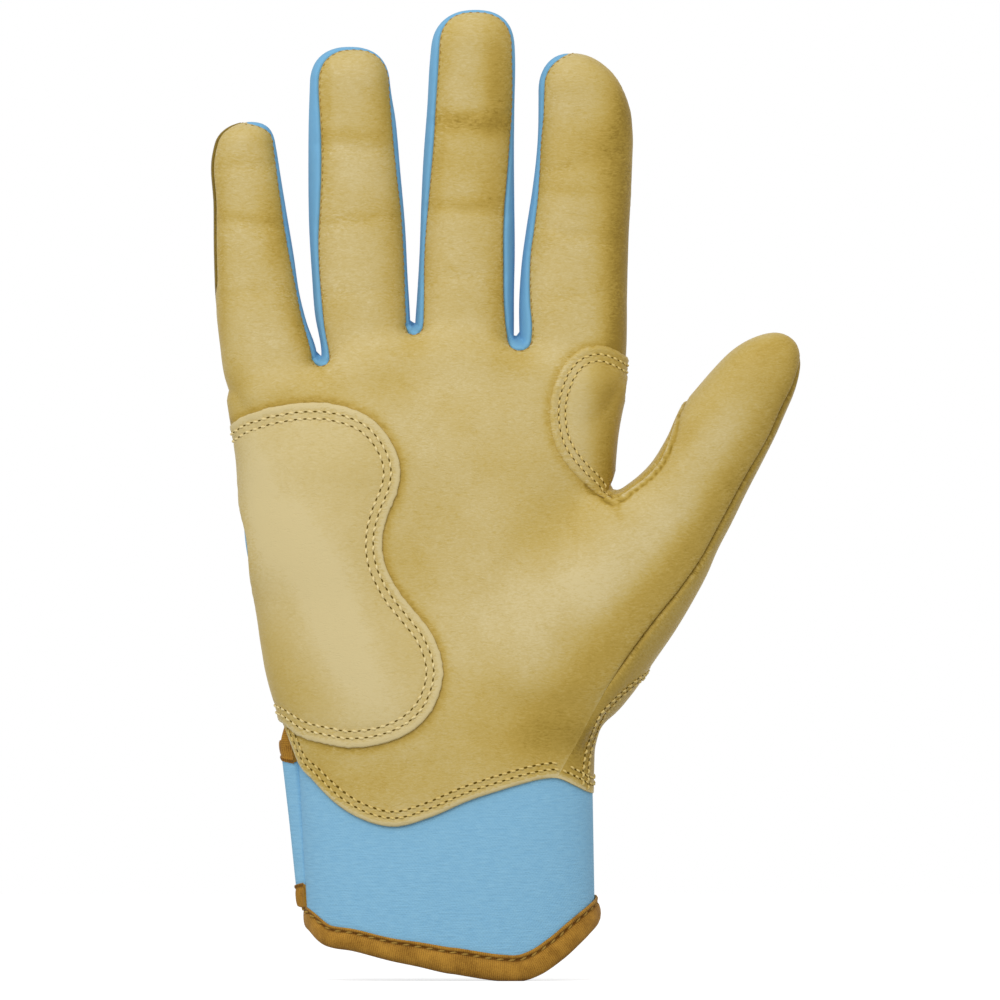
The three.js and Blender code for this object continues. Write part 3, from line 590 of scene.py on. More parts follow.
def sideStrip(points):
    x, y, z = points.T
    finger, power = fingers[0], fingerRoot["roundness"]
    left, right, _ = through(finger["rows"], z)
    end = intoEnd(z, finger["top"], finger["cap"]).clip(0, 1)
    silhouette = (left + right) / 2 - (right - left) / 2 * (1 - end ** power) ** (1 / power)
    edge = silhouette + strip["inset"] - x - strip["narrow"] * ease(strip["narrowFrom"], strip["narrowTo"], z)
    return np.min([edge + 2 * np.maximum(0, y - curlAt(z)), z - strip["bottom"], strip["right"] - x], 0)


def thumbBackField(points):
    along, aside, deep = thumbPlace(points)
    depth = through(thumb["rows"], along)[2]
    seam = through(thumbSeam["outer"], along)[0]
    outer = np.minimum(aside - seam * ease(*thumbSeam["turn"], deep), points[:, 0] - thumbSeam["left"])
    inner = np.min([deep - thumbSeam["share"] * depth, along - thumbSeam["from"],
                    aside + thumbSeam["backReach"]], 0)
    return np.maximum(outer, inner)


def thumbBottom(points):
    x, y, z = points.T
    side = thumbSeam["side"]
    return z - through(wave, x)[0] * ease(side, -side, y) - thumbSeam["bottom"] * ease(-side, side, y)


def gussetField(points):
    along, aside, deep = thumbPlace(points)
    inner, _, depth = through(thumb["rows"], along)
    inset = thumbSeam["inset"] * ease(thumbSeam["to"], thumbSeam["to"] - thumbSeam["fade"], along)
    front = inner + inset - aside + 2 * np.maximum(0, deep)
    return np.min([front, along - thumbSeam["from"], thumbSeam["to"] - along,
                   thumbSeam["share"] * depth - deep, aside + thumbSeam["gussetReach"]], 0)


def waveField(points):
    return points[:, 2] - through(wave, points[:, 0])[0]


# A field or its other side, less the room of a seam.
def more(field, room=seamRoom, way=1):
    return lambda points: way * field(points) - room * seamDepth(points)


def less(field, room=seamRoom):
    return more(field, room, -1)


# Past a place along an axis, less the room of a seam.
def past(axis, place, way=1):
    return lambda points: way * (points[:, axis] - place) - seamRoom


# A closed outline seen from the palm, as a field: how far inside it a point is.
def outlineField(corners, ragged=0.0):
    corners = np.asarray(corners, float)
    count = len(corners)
    ahead = [corners[(np.arange(count) + shift) % count] for shift in (-1, 0, 1, 2)]
    ring = []
    for t in np.linspace(0, 1, 6)[:-1]:
        a, b, c, d = ahead
        ring.append(0.5 * (2 * b + (c - a) * t + (2 * a - 5 * b + 4 * c - d) * t * t
                           + (3 * b - a - 3 * c + d) * t ** 3))
    ring = np.stack(ring, 1).reshape(-1, 2)
    ends = np.roll(ring, -1, 0)

    def field(points):
        place = points[:, [0, 2]]
        near, inside = np.full(len(place), 1e9), np.zeros(len(place), bool)
        for a, b in zip(ring, ends):
            along = b - a
            t = ((place - a) @ along / (along @ along)).clip(0, 1)
            near = np.minimum(near, ((place - a - t[:, None] * along) ** 2).sum(1))
            crosses = (a[1] > place[:, 1]) != (b[1] > place[:, 1])
            if a[1] != b[1]:
                inside ^= crosses & (place[:, 0] < (b[0] - a[0]) * (place[:, 1] - a[1]) / (b[1] - a[1]) + a[0])
        x, _, z = points.T
        rough = np.sin(4.1 * x + 2.3 * z) + np.sin(3.7 * z - 2.9 * x) + np.sin(6.3 * x) * np.sin(5.9 * z)
        return np.where(inside, 1, -1) * np.sqrt(near) + ragged * rough
    return field


def linear(red, green, blue):
    parts = [channel / 255 for channel in (red, green, blue)]
    return tuple(p / 12.92 if p <= 0.04045 else ((p + 0.055) / 1.055) ** 2.4 for p in parts) + (1,)


class Strand:  # one socket of a material, for sums on values
    def __init__(self, finish, socket):
        self.finish, self.socket = finish, socket

    def sum(self, operation, *values):
        return self.finish.node("ShaderNodeMath", {"operation": operation}, dict(enumerate(values)))

    def __add__(self, other):
        return self.sum("ADD", self, other)

    def __radd__(self, other):
        return self.sum("ADD", other, self)

    def __sub__(self, other):
        return self.sum("SUBTRACT", self, other)

    def __rsub__(self, other):
        return self.sum("SUBTRACT", other, self)

    def __mul__(self, other):
        return self.sum("MULTIPLY", self, other)

    def __rmul__(self, other):
        return self.sum("MULTIPLY", other, self)

    def __pow__(self, other):
        return self.sum("POWER", self, other)

    def most(self, other):
        return self.sum("MAXIMUM", self, other)

    def wave(self):
        return self.sum("SINE", self)

    def between(self, low, high):  # 0 below low, 1 above high, smooth between
        return self.finish.node("ShaderNodeMapRange", {"interpolation_type": "SMOOTHSTEP"},
                                {"Value": self, "From Min": low, "From Max": high})


class Finish:  # the nodes of a material, or of the world
    def __init__(self, owner):
        owner.use_nodes = True
        self.owner, self.tree = owner, owner.node_tree
        self.tree.nodes.clear()

    def node(self, kind, settings=None, values=None, output=0):
        made = self.tree.nodes.new(kind)
        for key, value in (settings or {}).items():
            if key == "stops":
                made.color_ramp.elements.remove(made.color_ramp.elements[0])
                for i, (at, colour) in enumerate(value):
                    stop = made.color_ramp.elements[0] if i == 0 else made.color_ramp.elements.new(at)
                    stop.position, stop.color = at, colour
            else:
                setattr(made, key, value)
        for key, value in (values or {}).items():
            if isinstance(value, Strand):
                self.tree.links.new(value.socket, made.inputs[key])
            else:
                made.inputs[key].default_value = value
        return Strand(self, made.outputs[output]) if made.outputs else None

    def kept(self, name, output="Fac"):  # a value stored on the mesh
        return self.node("ShaderNodeAttribute", {"attribute_name": name}, output=output)

    def part(self, vector, axis):
        return self.node("ShaderNodeSeparateXYZ", None, {"Vector": vector}, axis)

    def noise(self, place, scale, detail=3.0, roughness=0.5, stretch=None, output=0):
        if stretch:
            place = self.node("ShaderNodeVectorMath", {"operation": "MULTIPLY"}, {0: place, 1: stretch})
        return self.node("ShaderNodeTexNoise", None,
                         {"Vector": place, "Scale": scale, "Detail": detail, "Roughness": roughness}, output)

    def mix(self, share, one, two):
        return self.node("ShaderNodeMix", {"data_type": "RGBA"}, {0: share, 6: one, 7: two}, 2)

    def bump(self, height, strength, distance):
        return self.node("ShaderNodeBump", None,
                         {"Height": height, "Strength": strength, "Distance": distance * metres})

    def direct(self):  # 1 where the camera, gloss or glass look at this itself
        rays = [self.node("ShaderNodeLightPath", output=f"Is {kind} Ray")
                for kind in ("Camera", "Glossy", "Transmission")]
        return rays[0].most(rays[1]).most(rays[2])

    def surface(self, **values):
        named = {key.replace("_", " "): value for key, value in values.items()}
        shader = self.node("ShaderNodeBsdfPrincipled", None, named)
        self.node("ShaderNodeOutputMaterial", None, {"Surface": shader})
        return self.owner


def finishOf(name):
    return Finish(bpy.data.materials.new(name))


leatherLook = {
    "ramp": [(0.0, (212, 194, 142)), (0.13, (204, 183, 123)), (0.3, (196, 171, 98)), (0.5, (187, 158, 76)),
             (0.75, (172, 143, 60)), (1.0, (152, 124, 46))],
    "inside": (176, 152, 104),
}
# A darker, more olive copy of the leather for the little finger's side strip: its darkening is painted shade on
# that side wall.
shadedOliveLook = {"ramp": [(0.0, (168, 144, 66)), (0.4, (138, 114, 34)), (1.0, (102, 82, 16))],
             "inside": (120, 104, 60)}
leatherGrain = {  # scale, detail, roughness, stretch
    "wrinkles": (1.0, 1, 0.5, (0.75, 1.0, 2.5)),
    "folds": (0.5, 3, 0.5, (0.35, 0.6, 1.3)),
    "fine": (2.6, 2, 0.6, (0.6, 0.8, 1.3)),
    "veins": (0.55, 2, 0.5, (0.5, 0.9, 1.9)),
}
# How much each darkens the colour: where it is creased, and all over. The wrinkles, folds and veins darken
# where they are sunk, partly the leather's own colour and partly painted shade in them.
leatherDark = {"wrinkles": (2.0, 0.34), "fine": (0.7, 0.44), "veins": (0.3, 0.12)}
foldsDark, blotchDark = 0.5, 0.45
# The fine grain stands up, and the others are sunk.
leatherRelief = {"wrinkles": (1.6, 0.2), "fine": 0.4, "veins": 0.35, "folds": 0.8}


# Fine goat leather: pale where it stretches, golden and finely wrinkled where it gathers and turns away. Its
# kept tone holds painted shade along with its own colour, and its sunk wrinkles, folds and veins are partly
# painted shade.
def leatherFinish(name, shift=0.0, look=leatherLook, grain=1.0):
    f = finishOf(name)
    place = f.kept("grain", "Vector")
    tone, under, crease = f.kept("tone"), f.kept("under"), f.kept("crease")
    drift = f.noise(place, 0.2, 2, output="Color")
    drift = f.node("ShaderNodeVectorMath", {"operation": "SCALE"}, {0: drift, "Scale": 1.8})
    bent = f.node("ShaderNodeVectorMath", {"operation": "ADD"}, {0: place, 1: drift})
    wrinkles, folds, fine, veins = (f.noise(bent, *how) for how in leatherGrain.values())
    veins = (veins.between(0.455, 0.5) - veins.between(0.5, 0.545)) * f.noise(place, 0.4, 2).between(0.42, 0.62)
    blotch, patchy = f.noise(place, 0.09), f.noise(place, 0.25, 3, 0.6).between(0.38, 0.66)
    creased = crease ** 1.3 * (patchy * 0.9 + 0.3)
    byWrinkles, byFine, byVeins = (creased * much + always * grain for much, always in leatherDark.values())
    amount = (tone + shift + (blotch - 0.5) * blotchDark * grain + (fine - 0.5) * byFine
              + (wrinkles - 0.5) * byWrinkles + (folds - 0.5) * creased * foldsDark + veins * byVeins)
    stops = [(at, linear(*colour)) for at, colour in look["ramp"]]
    colour = f.node("ShaderNodeValToRGB", {"stops": stops}, {"Fac": amount * (1 / 1.5)}, "Color")
    much, always = leatherRelief["wrinkles"]
    height = (0.5 - wrinkles * (creased * much + always) + fine * leatherRelief["fine"]
              - veins * leatherRelief["veins"] - folds * creased * leatherRelief["folds"])
    return f.surface(Base_Color=f.mix(under, colour, linear(*look["inside"])), Specular_IOR_Level=0.15,
                     Roughness=0.46 + (fine - 0.5) * 0.2 + under * 0.3, Normal=f.bump(height, 0.5, 0.14))


def clothFinish(name, light, dark, pitch=0.55, crinkle=0.3, streaks=0.2):
    f = finishOf(name)
    place, weave, under = f.kept("grain", "Vector"), f.kept("weave", "Vector"), f.kept("under")
    turn = 2 * math.pi / pitch
    loops = (f.part(weave, "X") * turn).wave() * (f.part(weave, "Z") * turn * 0.8).wave()
    soft, fuzz = f.noise(place, 0.5, 3, 0.55), f.noise(place, 5.0, 2, 0.6)
    crinkles = f.noise(weave, 1.0, 2, 0.55, (0.35, 0.5, 1.9))
    share = (soft - 0.5) * 0.5 + (fuzz - 0.5) * 0.35 + loops * 0.08 + 0.4 - (crinkles - 0.5) * streaks
    colour = f.mix(under * 0.6, f.mix(share, linear(*light), linear(*dark)), linear(*dark))
    return f.surface(Base_Color=colour, Roughness=0.82, Sheen_Weight=0.08, Sheen_Roughness=0.5,
                     Normal=f.bump(loops * 0.2 + fuzz * 0.2 + crinkles * crinkle, 0.4, 0.2),
                     Specular_IOR_Level=0.08)


def bindingFinish(name, light, dark, rib=0.52):
    f = finishOf(name)
    place, weave, groove = f.kept("grain", "Vector"), f.kept("weave", "Vector"), f.kept("groove")
    ribs = (f.part(weave, "X") * (2 * math.pi / rib)).wave() * 0.5 + 0.5
    soft, fuzz = f.noise(place, 0.3, 2), f.noise(place, 4.0, 3, 0.6)
    # The binding darkens along its groove and in the valleys between its ribs: painted shade in them, over the
    # weave's own mottling.
    share = ribs * 0.3 + (fuzz - 0.5) * 1.1 + (soft - 0.5) * 0.9 + 0.3 + groove * 0.8
    return f.surface(Base_Color=f.mix(share, linear(*light), linear(*dark)), Roughness=0.86, Sheen_Weight=0.08,
                     Normal=f.bump((1 - ribs) * 0.4 + fuzz * 0.4, 0.5, 0.16),
                     Sheen_Roughness=0.5, Specular_IOR_Level=0.12)


def threadFinish(name, light, dark, shine=0.3):
    f = finishOf(name)
    colour = f.mix(f.noise(f.kept("grain", "Vector"), 3.0, 2), linear(*light), linear(*dark))
    return f.surface(Base_Color=colour, Roughness=0.8, Specular_IOR_Level=shine)


finishes = {
    "palm": leatherFinish("palm leather"),
    "pad": leatherFinish("pad leather", -0.16, grain=0.55),
    # The side strip's leather, made darker as painted shade.
    "olive": leatherFinish("strip leather", 0.3, shadedOliveLook),
    "blue": clothFinish("blue stretch cloth", (128, 186, 222), (110, 170, 212)),
    "knit": clothFinish("blue cuff knit", (146, 198, 227), (122, 177, 213), 0.8, 2.2, 1.0),
    "binding": bindingFinish("brown binding", (200, 148, 58), (112, 72, 16)),
    "thread": threadFinish("cream thread", (246, 228, 174), (212, 190, 126)),
    "gold thread": threadFinish("gold thread", (238, 216, 144), (200, 170, 88)),
    "tan thread": threadFinish("tan thread", (186, 148, 66), (136, 104, 40)),
    # The needle holes are coloured dark brown: painted shade inside the sunk holes.
    "hole": threadFinish("needle holes", (112, 90, 30), (84, 64, 14), 0.0),
    "tape": threadFinish("dark tape", (46, 48, 53), (22, 23, 26)),
}
print("finishes made:", len(finishes))


def addPiece(solid, finish, replaces=(), body="glove", sharp=48):
    count = len(solid["points"])
    mesh = bpy.data.meshes.new(solid["name"])
    mesh.from_pydata((solid["points"] * metres).tolist(), [], solid["faces"].tolist())
    kept = {"under": np.zeros(count), "tone": np.full(count, 0.4), "crease": np.zeros(count),
            "groove": np.zeros(count), "grain": solid["points"], "weave": solid["points"]}
    for key, data in kept.items():
        data = solid.get(key, data)
        kind, field = ("FLOAT_VECTOR", "vector") if data.ndim == 2 else ("FLOAT", "value")
        layer = mesh.attributes.new(key, kind, "POINT")
        layer.data.foreach_set(field, np.ascontiguousarray(data, np.float32).ravel())
    mesh.materials.append(finishes[finish])
    mesh.polygons.foreach_set("use_smooth", [True] * len(mesh.polygons))
    mesh.update()
    mesh.set_sharp_from_angle(angle=math.radians(sharp))
    piece = bpy.data.objects.new(solid["name"], mesh)
    bpy.context.scene.collection.objects.link(piece)
    if body:
        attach(piece, body)
    if replaces:
        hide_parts(*replaces)
    return piece


# Golden and pale places of the leather, partly its own stains, partly painted shade where it turns from the
# light and painted highlights where it faces it: x, z, half length, half width, turn of the length in degrees,
# amount.
stainsAndShade = {
    "little": [(-43.2, 187, 11, 3.2, 98, 0.5), (-49.5, 190.5, 9, 1.7, -4, 0.3), (-51, 204.5, 8, 1.8, 2, 0.15),
               (-46, 210, 4, 3, 0, 0.15), (-36.5, 162, 9, 2.4, 115, 0.42), (-56.5, 182, 24, 1.2, 91, 0.25),
               (-49, 172, 8, 2.2, 4, 0.1)],
    "ring": [(-24.5, 211, 10, 1.9, -3, 0.32), (-22.5, 190.5, 10, 1.8, 2, 0.22), (-30.8, 214, 15, 1.8, 90, 0.28),
             (-13.3, 186, 26, 2.6, 85, 0.18), (-15.5, 217, 10, 3, 88, 0.3), (-22, 200, 6, 4, 0, -0.08)],
    "middle": [(12.2, 224, 12, 3.6, 92, 0.7), (5.5, 214.3, 11, 2.8, -3, 0.78), (11.8, 213.5, 4.5, 3.8, 0, 0.2),
               (5.5, 193.8, 11, 2.0, 0, 0.34), (10.8, 198, 6, 4, 90, 0.35), (12.6, 172, 17, 2.6, 90, 0.35),
               (-0.6, 230, 8, 1.8, 80, 0.2), (3, 205, 9, 7, 0, 0.2), (4.5, 236, 9, 3, 0, 0.1),
               (-2.5, 200, 12, 1.5, 85, 0.2)],
    "index": [(43.2, 186, 30, 4.6, 90, 1.0), (38, 207.5, 6, 6, 0, 0.35), (44, 218, 7, 3.0, 100, 0.5),
              (31, 197.5, 10, 1.5, -3, 0.18), (42.3, 160, 9, 3.4, 92, 0.6), (30, 212, 9, 6, 0, 0.12),
              (31, 186, 9, 1.6, 3, 0.12), (23, 208, 14, 1.6, 88, 0.2), (32, 224, 9, 4, 0, 0.12),
              (31, 199, 8, 8, 0, 0.13), (42, 213, 5, 6, 0, 0.22)],
    "webs": [(-32, 150.5, 5, 4, 0, 0.14), (-36.5, 145.5, 9, 4, 0, 0.25), (-8.5, 158.5, 4, 3.4, 0, 0.25),
             (17.3, 154.5, 5, 3.6, 0, 0.25), (-53, 147, 7, 3, 80, 0.25), (-12, 150, 5, 6, 60, 0.12)],
    "palm": [(5.5, 121, 22, 15, 0, 0.04), (27, 116.5, 11, 7.5, 0, 0.22), (27, 97, 30, 8, 30, -0.2),
             (39, 95, 7, 7, 0, -0.14), (28, 109, 9, 7, 0, 0.16), (34, 76, 22, 6.5, 52, 0.55),
             (28, 60, 14, 7, 0, 0.55), (13, 69, 14, 8, 0, 0.2), (-19.5, 49.5, 22, 6, 0, 0.36),
             (2, 60, 16, 7, 10, 0.14), (-8, 100, 5, 14, 0, 0.1), (-33, 54, 6, 5, 0, 0.1),
             (37, 52, 10, 5, 90, 0.45), (50, 99, 14, 3.5, 50, 0.3)],
    "thumb": [(82, 155.5, 8, 4.2, 25, 0.24), (82, 159.5, 8, 2.2, 24, 0.3), (88, 152, 7, 1.8, 75, 0.25),
              (83, 142, 12, 2, 75, 0.25), (78, 152, 9, 6, 60, 0.2), (60.5, 137.5, 10, 2.4, 55, 0.25),
              (66, 128, 22, 5, 56, -0.05), (70, 146, 8, 3, 60, 0.12), (68, 121, 34, 4.2, 60, 0.55)],
}
# The pad's marks, in the same columns: a painted highlight along a band across it, and golden places that are
# partly its own colour and partly painted shade.
padTintAndLight = [(-32, 98, 32, 7.5, -66, -0.42), (-46, 118, 12, 3, -80, -0.2), (-48, 110, 26, 4.5, -80, -0.2),
            (-43, 80, 16, 4.5, -70, 0.15), (-36, 70, 10, 6, 0, 0.06), (-20, 78, 16, 8, -60, -0.05),
            (-34, 138, 16, 7, 0, -0.12), (-18, 66, 12, 6, 0, -0.05)]
# The crotch patch's marks, in the same columns: painted shade down its right side, which turns from the light,
# and a painted highlight on its left.
patchLightAndShade = [(40.0, 140, 20, 4.6, 92, 0.52), (40.6, 127, 7, 3.6, 95, 0.4), (33.5, 140, 15, 4, 92, -0.16)]


def marksAt(marks, x, z):
    amount = 0 * x
    for cx, cz, long, across, turn, much in marks:
        turn = math.radians(turn)
        u = (x - cx) * math.cos(turn) + (z - cz) * math.sin(turn)
        v = (z - cz) * math.cos(turn) - (x - cx) * math.sin(turn)
        amount = amount + much * np.exp(-(u / long) ** 2 - (v / across) ** 2)
    return amount


# The leather's own wear together with painted light: how golden it turns facing right, left and down (painted
# shade, most on the right), the reach of the painted shade at seams, its wrinkles and pale cut edge, painted
# shadow round what is sewn on, and a bead's painted light and shade.
leatherWearAndShade = {"right": 0.3, "left": 0.14, "low": 0.1, "turned": 1.6, "seamShadeReach": 0.6, "crease": 0.03,
              "goldenCrease": 0.4, "goldenFrom": 0.2,
              "edgeCrease": 0.55, "edgeReach": 2.6, "jointCrease": 0.16, "jointReach": 4, "jointHalf": 13,
              "rimCrease": 0.45, "cutEdge": 0.4, "faded": 6, "front": (4, -2), "around": (0.7, 1.4),
              "bead": [(-0.45, 0.9, 0.5), (1.3, 2.1, 0.4)]}  # a bead's lines: amount, place, reach


# Leather turns golden where it faces aside, partly its own colour and partly painted shade, most on the right
# sides, away from the light.
# Its sewn edges get painted shade in the seams, and round what is sewn on lies a painted shadow. A rolled edge
# shows its pale side, a bead gets a painted highlight on top and a painted shade line behind it, and where a
# seam fades a painted line runs along its ridge.
def dressLeather(solid, base=0.22, marks=None, isThumb=False, rim=(), seamShade=0.4, pale=0.9, around=(), ridge=(),
                 bead=()):
    wearShade, points, outward = leatherWearAndShade, solid["points"], solid["outward"]
    x, y, z = points.T
    depth = seamDepth(points)
    edge = solid["edge"] = solid["edge"] + wearShade["faded"] * (1 - depth)
    marks = [mark for group in stainsAndShade.values() for mark in group] if marks is None else marks
    # Painted shade, partly over the leather's own gold: more golden where it faces right, left or down, most on
    # the right, away from the light.
    right, left, low = (way.clip(0, 1) for way in (outward[:, 0], -outward[:, 0], -outward[:, 2]))
    tone = (base + wearShade["right"] * right ** wearShade["turned"] + wearShade["left"] * left ** wearShade["turned"]
            + wearShade["low"] * low)
    tone = tone + ease(*wearShade["front"], y - curlAt(z)) * marksAt(marks, x, z)
    # Painted shade in the seams: darker towards the sewn edges.
    tone = tone + seamShade * np.exp(-edge / wearShade["seamShadeReach"])
    crease = (wearShade["crease"] + wearShade["goldenCrease"] * (tone - wearShade["goldenFrom"]).clip(0, 1)
              + wearShade["edgeCrease"] * np.exp(-edge / wearShade["edgeReach"]))
    for place, height, _, _ in creases:
        onFinger = np.abs(x - through(fingers[place]["seams"], z)[0]) < wearShade["jointHalf"]
        crease = crease + wearShade["jointCrease"] * hump(z - height, wearShade["jointReach"]) * onFinger
    # Painted shadow round the raised edges of what is sewn on, on the front only.
    for field, much in around:
        start, fall = wearShade["around"]
        near = np.exp(-fall * (-field(points) - start).clip(0)) * (y < 0)
        tone = tone + much * near
        crease = crease.clip(0, 1) + wearShade["rimCrease"] * near
    for profile, away in solid["away"]:
        if profile in rim:
            tone = tone - (wearShade["cutEdge"] + seamShade) * np.exp(-(away / pale) ** 4)
        # A painted highlight on the bead's top and a painted shade line behind it.
        for much, at, reach in wearShade["bead"] if profile in bead else ():
            tone = tone + much * hump(away - at, reach)
        # A painted line along the ridge where a seam fades: a painted highlight where its amount is negative,
        # painted shade where positive.
        if profile in ridge:
            tone = tone + ridge[1] * (1 - depth) * hump(away, ridge[2])
    solid["tone"], solid["crease"] = tone, crease.clip(0, 1)
    if isThumb:
        along, aside, deep = thumbPlace(points)
        solid["grain"] = np.stack([aside, deep, along], 1)
    return solid


# The faces of a tube: rings of points one after another.
def tubeFaces(rings, sides, closed=False):
    faces = []
    for ring in range(rings if closed else rings - 1):
        here, ahead = ring * sides, (ring + 1) % rings * sides
        for k in range(sides):
            after = (k + 1) % sides
            faces += [(here + k, here + after, ahead + after), (here + k, ahead + after, ahead + k)]
    return faces


stitch = {"pitch": 2.4, "stroke": 1.35, "thick": 0.68, "rise": 0.16, "slant": 0.2, "hole": 0.4, "shift": 0.0,
          # how a stroke gets thinner, rises, dips and flattens; a hole's length, and the depths of its faces
          "taper": 0.45, "swell": 0.12, "dip": 0.28, "flat": 0.75, "long": 1.9, "sunk": (0.05, -0.14, 0.25)}
strokeRings, strokeSides, holeSides = 5, 6, 8
lastRing = (strokeRings - 1) * strokeSides
strokeFaces = tubeFaces(strokeRings, strokeSides)
for k in range(1, strokeSides - 1):
    strokeFaces += [(k + 1, k, 0), (lastRing, lastRing + k, lastRing + k + 1)]
holeFaces = []
for a in range(holeSides):
    b = (a + 1) % holeSides
    holeFaces += [(b, a, holeSides), (a, b, holeSides + 1)]


def circle(count):
    angle = 2 * math.pi * np.arange(count)[:, None] / count
    return np.cos(angle), np.sin(angle)


# Short strokes of thread along lines on the skin, and the needle holes between them.
def sew(name, lines, finish="thread", slot="pale_leather", holes=True, wrap=None, **changes):
    how = {**stitch, **changes}
    half, thick, hole = how["stroke"] / 2, how["thick"], how["hole"]
    share = np.linspace(-1, 1, strokeRings)[:, None, None]
    cosine, sine = circle(strokeSides)
    holeCosine, holeSine = circle(holeSides)
    strokes, pits = [], []
    for points, outward in lines:
        points = points.copy()
        for _ in range(4):
            points[1:-1] = (points[:-2] + 2 * points[1:-1] + points[2:]) / 4
        run = lengthAlong(points)
        count = int(round(run[-1] / how["pitch"]))
        step = run[-1] / max(count, 1)

        def at(place):
            return [np.stack([np.interp(place, run, column) for column in data.T], -1)
                    for data in (points, outward)]
        for i in range(count if count > 1 else 0):
            middle = (i + 0.5 + how["shift"]) * step
            if middle + half > run[-1]:
                continue
            along = at(middle + 0.4)[0] - at(middle - 0.4)[0]
            along /= max(np.linalg.norm(along), 1e-6)
            spot, up = (data[:, None] for data in at(middle + share[:, 0, 0] * half))
            up = unit(up)
            side = unit(np.cross(along, up))
            size = thick / 2 * (1 - how["taper"] * share ** 2)
            rise = how["rise"] + thick * (how["swell"] * (1 - share ** 2) - how["dip"] * np.abs(share) ** 3)
            centre = spot + side * how["slant"] * share * half + up * rise
            strokes.append((centre + side * cosine * size + up * sine * size * how["flat"]).reshape(-1, 3))
            if holes:
                spot, up = at((i + how["shift"]) * step)
                side = np.cross(along, up)
                edge, top, bottom = how["sunk"]
                rim = spot + along * holeCosine * hole * how["long"] + side * holeSine * hole - up * edge
                pits.append(np.concatenate([rim, [spot - up * top, spot - up * bottom]]))
    for pieceName, parts, faces, look in ((name, strokes, strokeFaces, finish),
                                          (name + "_holes", pits, holeFaces, "hole")):
        if parts:
            places = np.concatenate(parts)
            starts = np.arange(len(parts))[:, None, None] * len(parts[0])
            addPiece({"name": pieceName, "points": wrap(places) if wrap else places,
                      "faces": (np.array(faces) + starts).reshape(-1, 3)}, look, sharp=80)
    print("sewn", name, len(strokes), "stitches")


fingerSeamEdge = turnedEdge + [(3, 0)]
thumbSeamEdge = turnedEdge + [(3.2, 0)]
backSeamEdge = turnedEdge + [(3.4, 0)]
waveEdge = [(0, -0.45), (0.2, -0.12), (0.5, 0.03), (1.2, 0.08), (2.3, -0.12), (3.1, 0.02), (4, -0.1),
            (5.2, 0.02), (7, 0)]
crotchEdge = [(0, -0.8), (0.25, -0.25), (0.6, 0.2), (1.0, 0.3), (1.5, 0.12), (1.9, -0.36), (2.3, -0.3),
              (2.8, -0.04), (3.6, 0.02)]
palmLeather = cutPanel(
    "palm_leather_skin",
    [(less(blueWalls), fingerSeamEdge), (less(sideStrip), turnedEdge), (less(behind), backSeamEdge),
     (less(thumbBackField, thumbRoom), thumbSeamEdge), (less(gussetField), crotchEdge), (waveField, waveEdge)],
    rows=[(waveEdge, 2.1), (waveEdge, 3.7), (fingerSeamEdge, 1.1), (waveEdge, 1.2), (waveEdge, 2.9)],
    faint=seamDepth)
pad = {
    "outline": [(-66, 137), (-56, 138), (-52.2, 140.4), (-47, 142.3), (-42.5, 143.5), (-34.5, 144.3),
                (-27, 143.6), (-19.5, 140.6), (-14.5, 135), (-12, 128.8), (-12.5, 122.5), (-15, 116.3),
                (-16.3, 111), (-16, 105), (-13.3, 98.8), (-9, 93), (-4.5, 87.5), (-1.8, 81.3), (-1.3, 75),
                (-4, 67.5), (-9.5, 62), (-17, 59), (-24.5, 58.2), (-32, 59.5), (-37, 61.2), (-41, 64.5),
                (-48, 68), (-66, 70)],
    "lift": lambda p: 0.3 + 0.6 * ease(-54, -47, p[:, 0]),
}
padOutline = outlineField(pad["outline"], 0.07)
padEdge = [(0, -0.35), (0.15, -0.1), (0.4, 0.0), (1.2, 0.05), (2.3, -0.14), (3.2, 0.0), (4.1, -0.14),
           (5.3, 0.12), (8, 0.35), (14, 0.8), (20, 1.0)]
palmPad = cutPanel("palm_pad_skin", [(padOutline, padEdge), (less(behind), turnedEdge)], lift=pad["lift"],
                   rows=[(padEdge, level) for level in (2.3, 4.1, 1.2, 3.2, 5.3)], finer=(0.15, 0.4))
addPiece(dressLeather(palmPad, 0.38, padTintAndLight, rim=[padEdge], seamShade=0.05, pale=1.2),
         "pad", ["palm_pad"])
sew("pad_stitches_outer", palmPad["lines"][0])
sew("pad_stitches_inner", palmPad["lines"][1], shift=0.3)

patch = {
    "outline": [(56, 147), (48, 152.2), (44, 156.2), (38.5, 158.6), (32.5, 157.3), (28.4, 153), (26.0, 147),
                (25.4, 141), (26.2, 135.5), (28.4, 130.6), (32.3, 125.8), (37, 121.8), (41, 119.8), (48, 116),
                (62, 130)],
    "lift": lambda p: 0.35 + 0.5 * ease(39, 43, p[:, 0]) * hump(p[:, 2] - 151, 4),
    "back": 2.5, "right": 43.5, "thumbSide": (6, 0.5),
}
patchOutline = outlineField(patch["outline"], 0.05)
patchEdge = [(0, -0.3), (0.2, -0.05), (0.6, 0.2), (1.1, 0.24), (1.7, 0.02), (2.2, -0.14), (3, 0.04),
             (3.9, -0.14), (5, 0.2), (7, 0.55), (9, 0.7)]


def besideThumb(points):
    along, aside, _ = thumbPlace(points)
    reach, slope = patch["thumbSide"]
    return reach - aside - slope * along


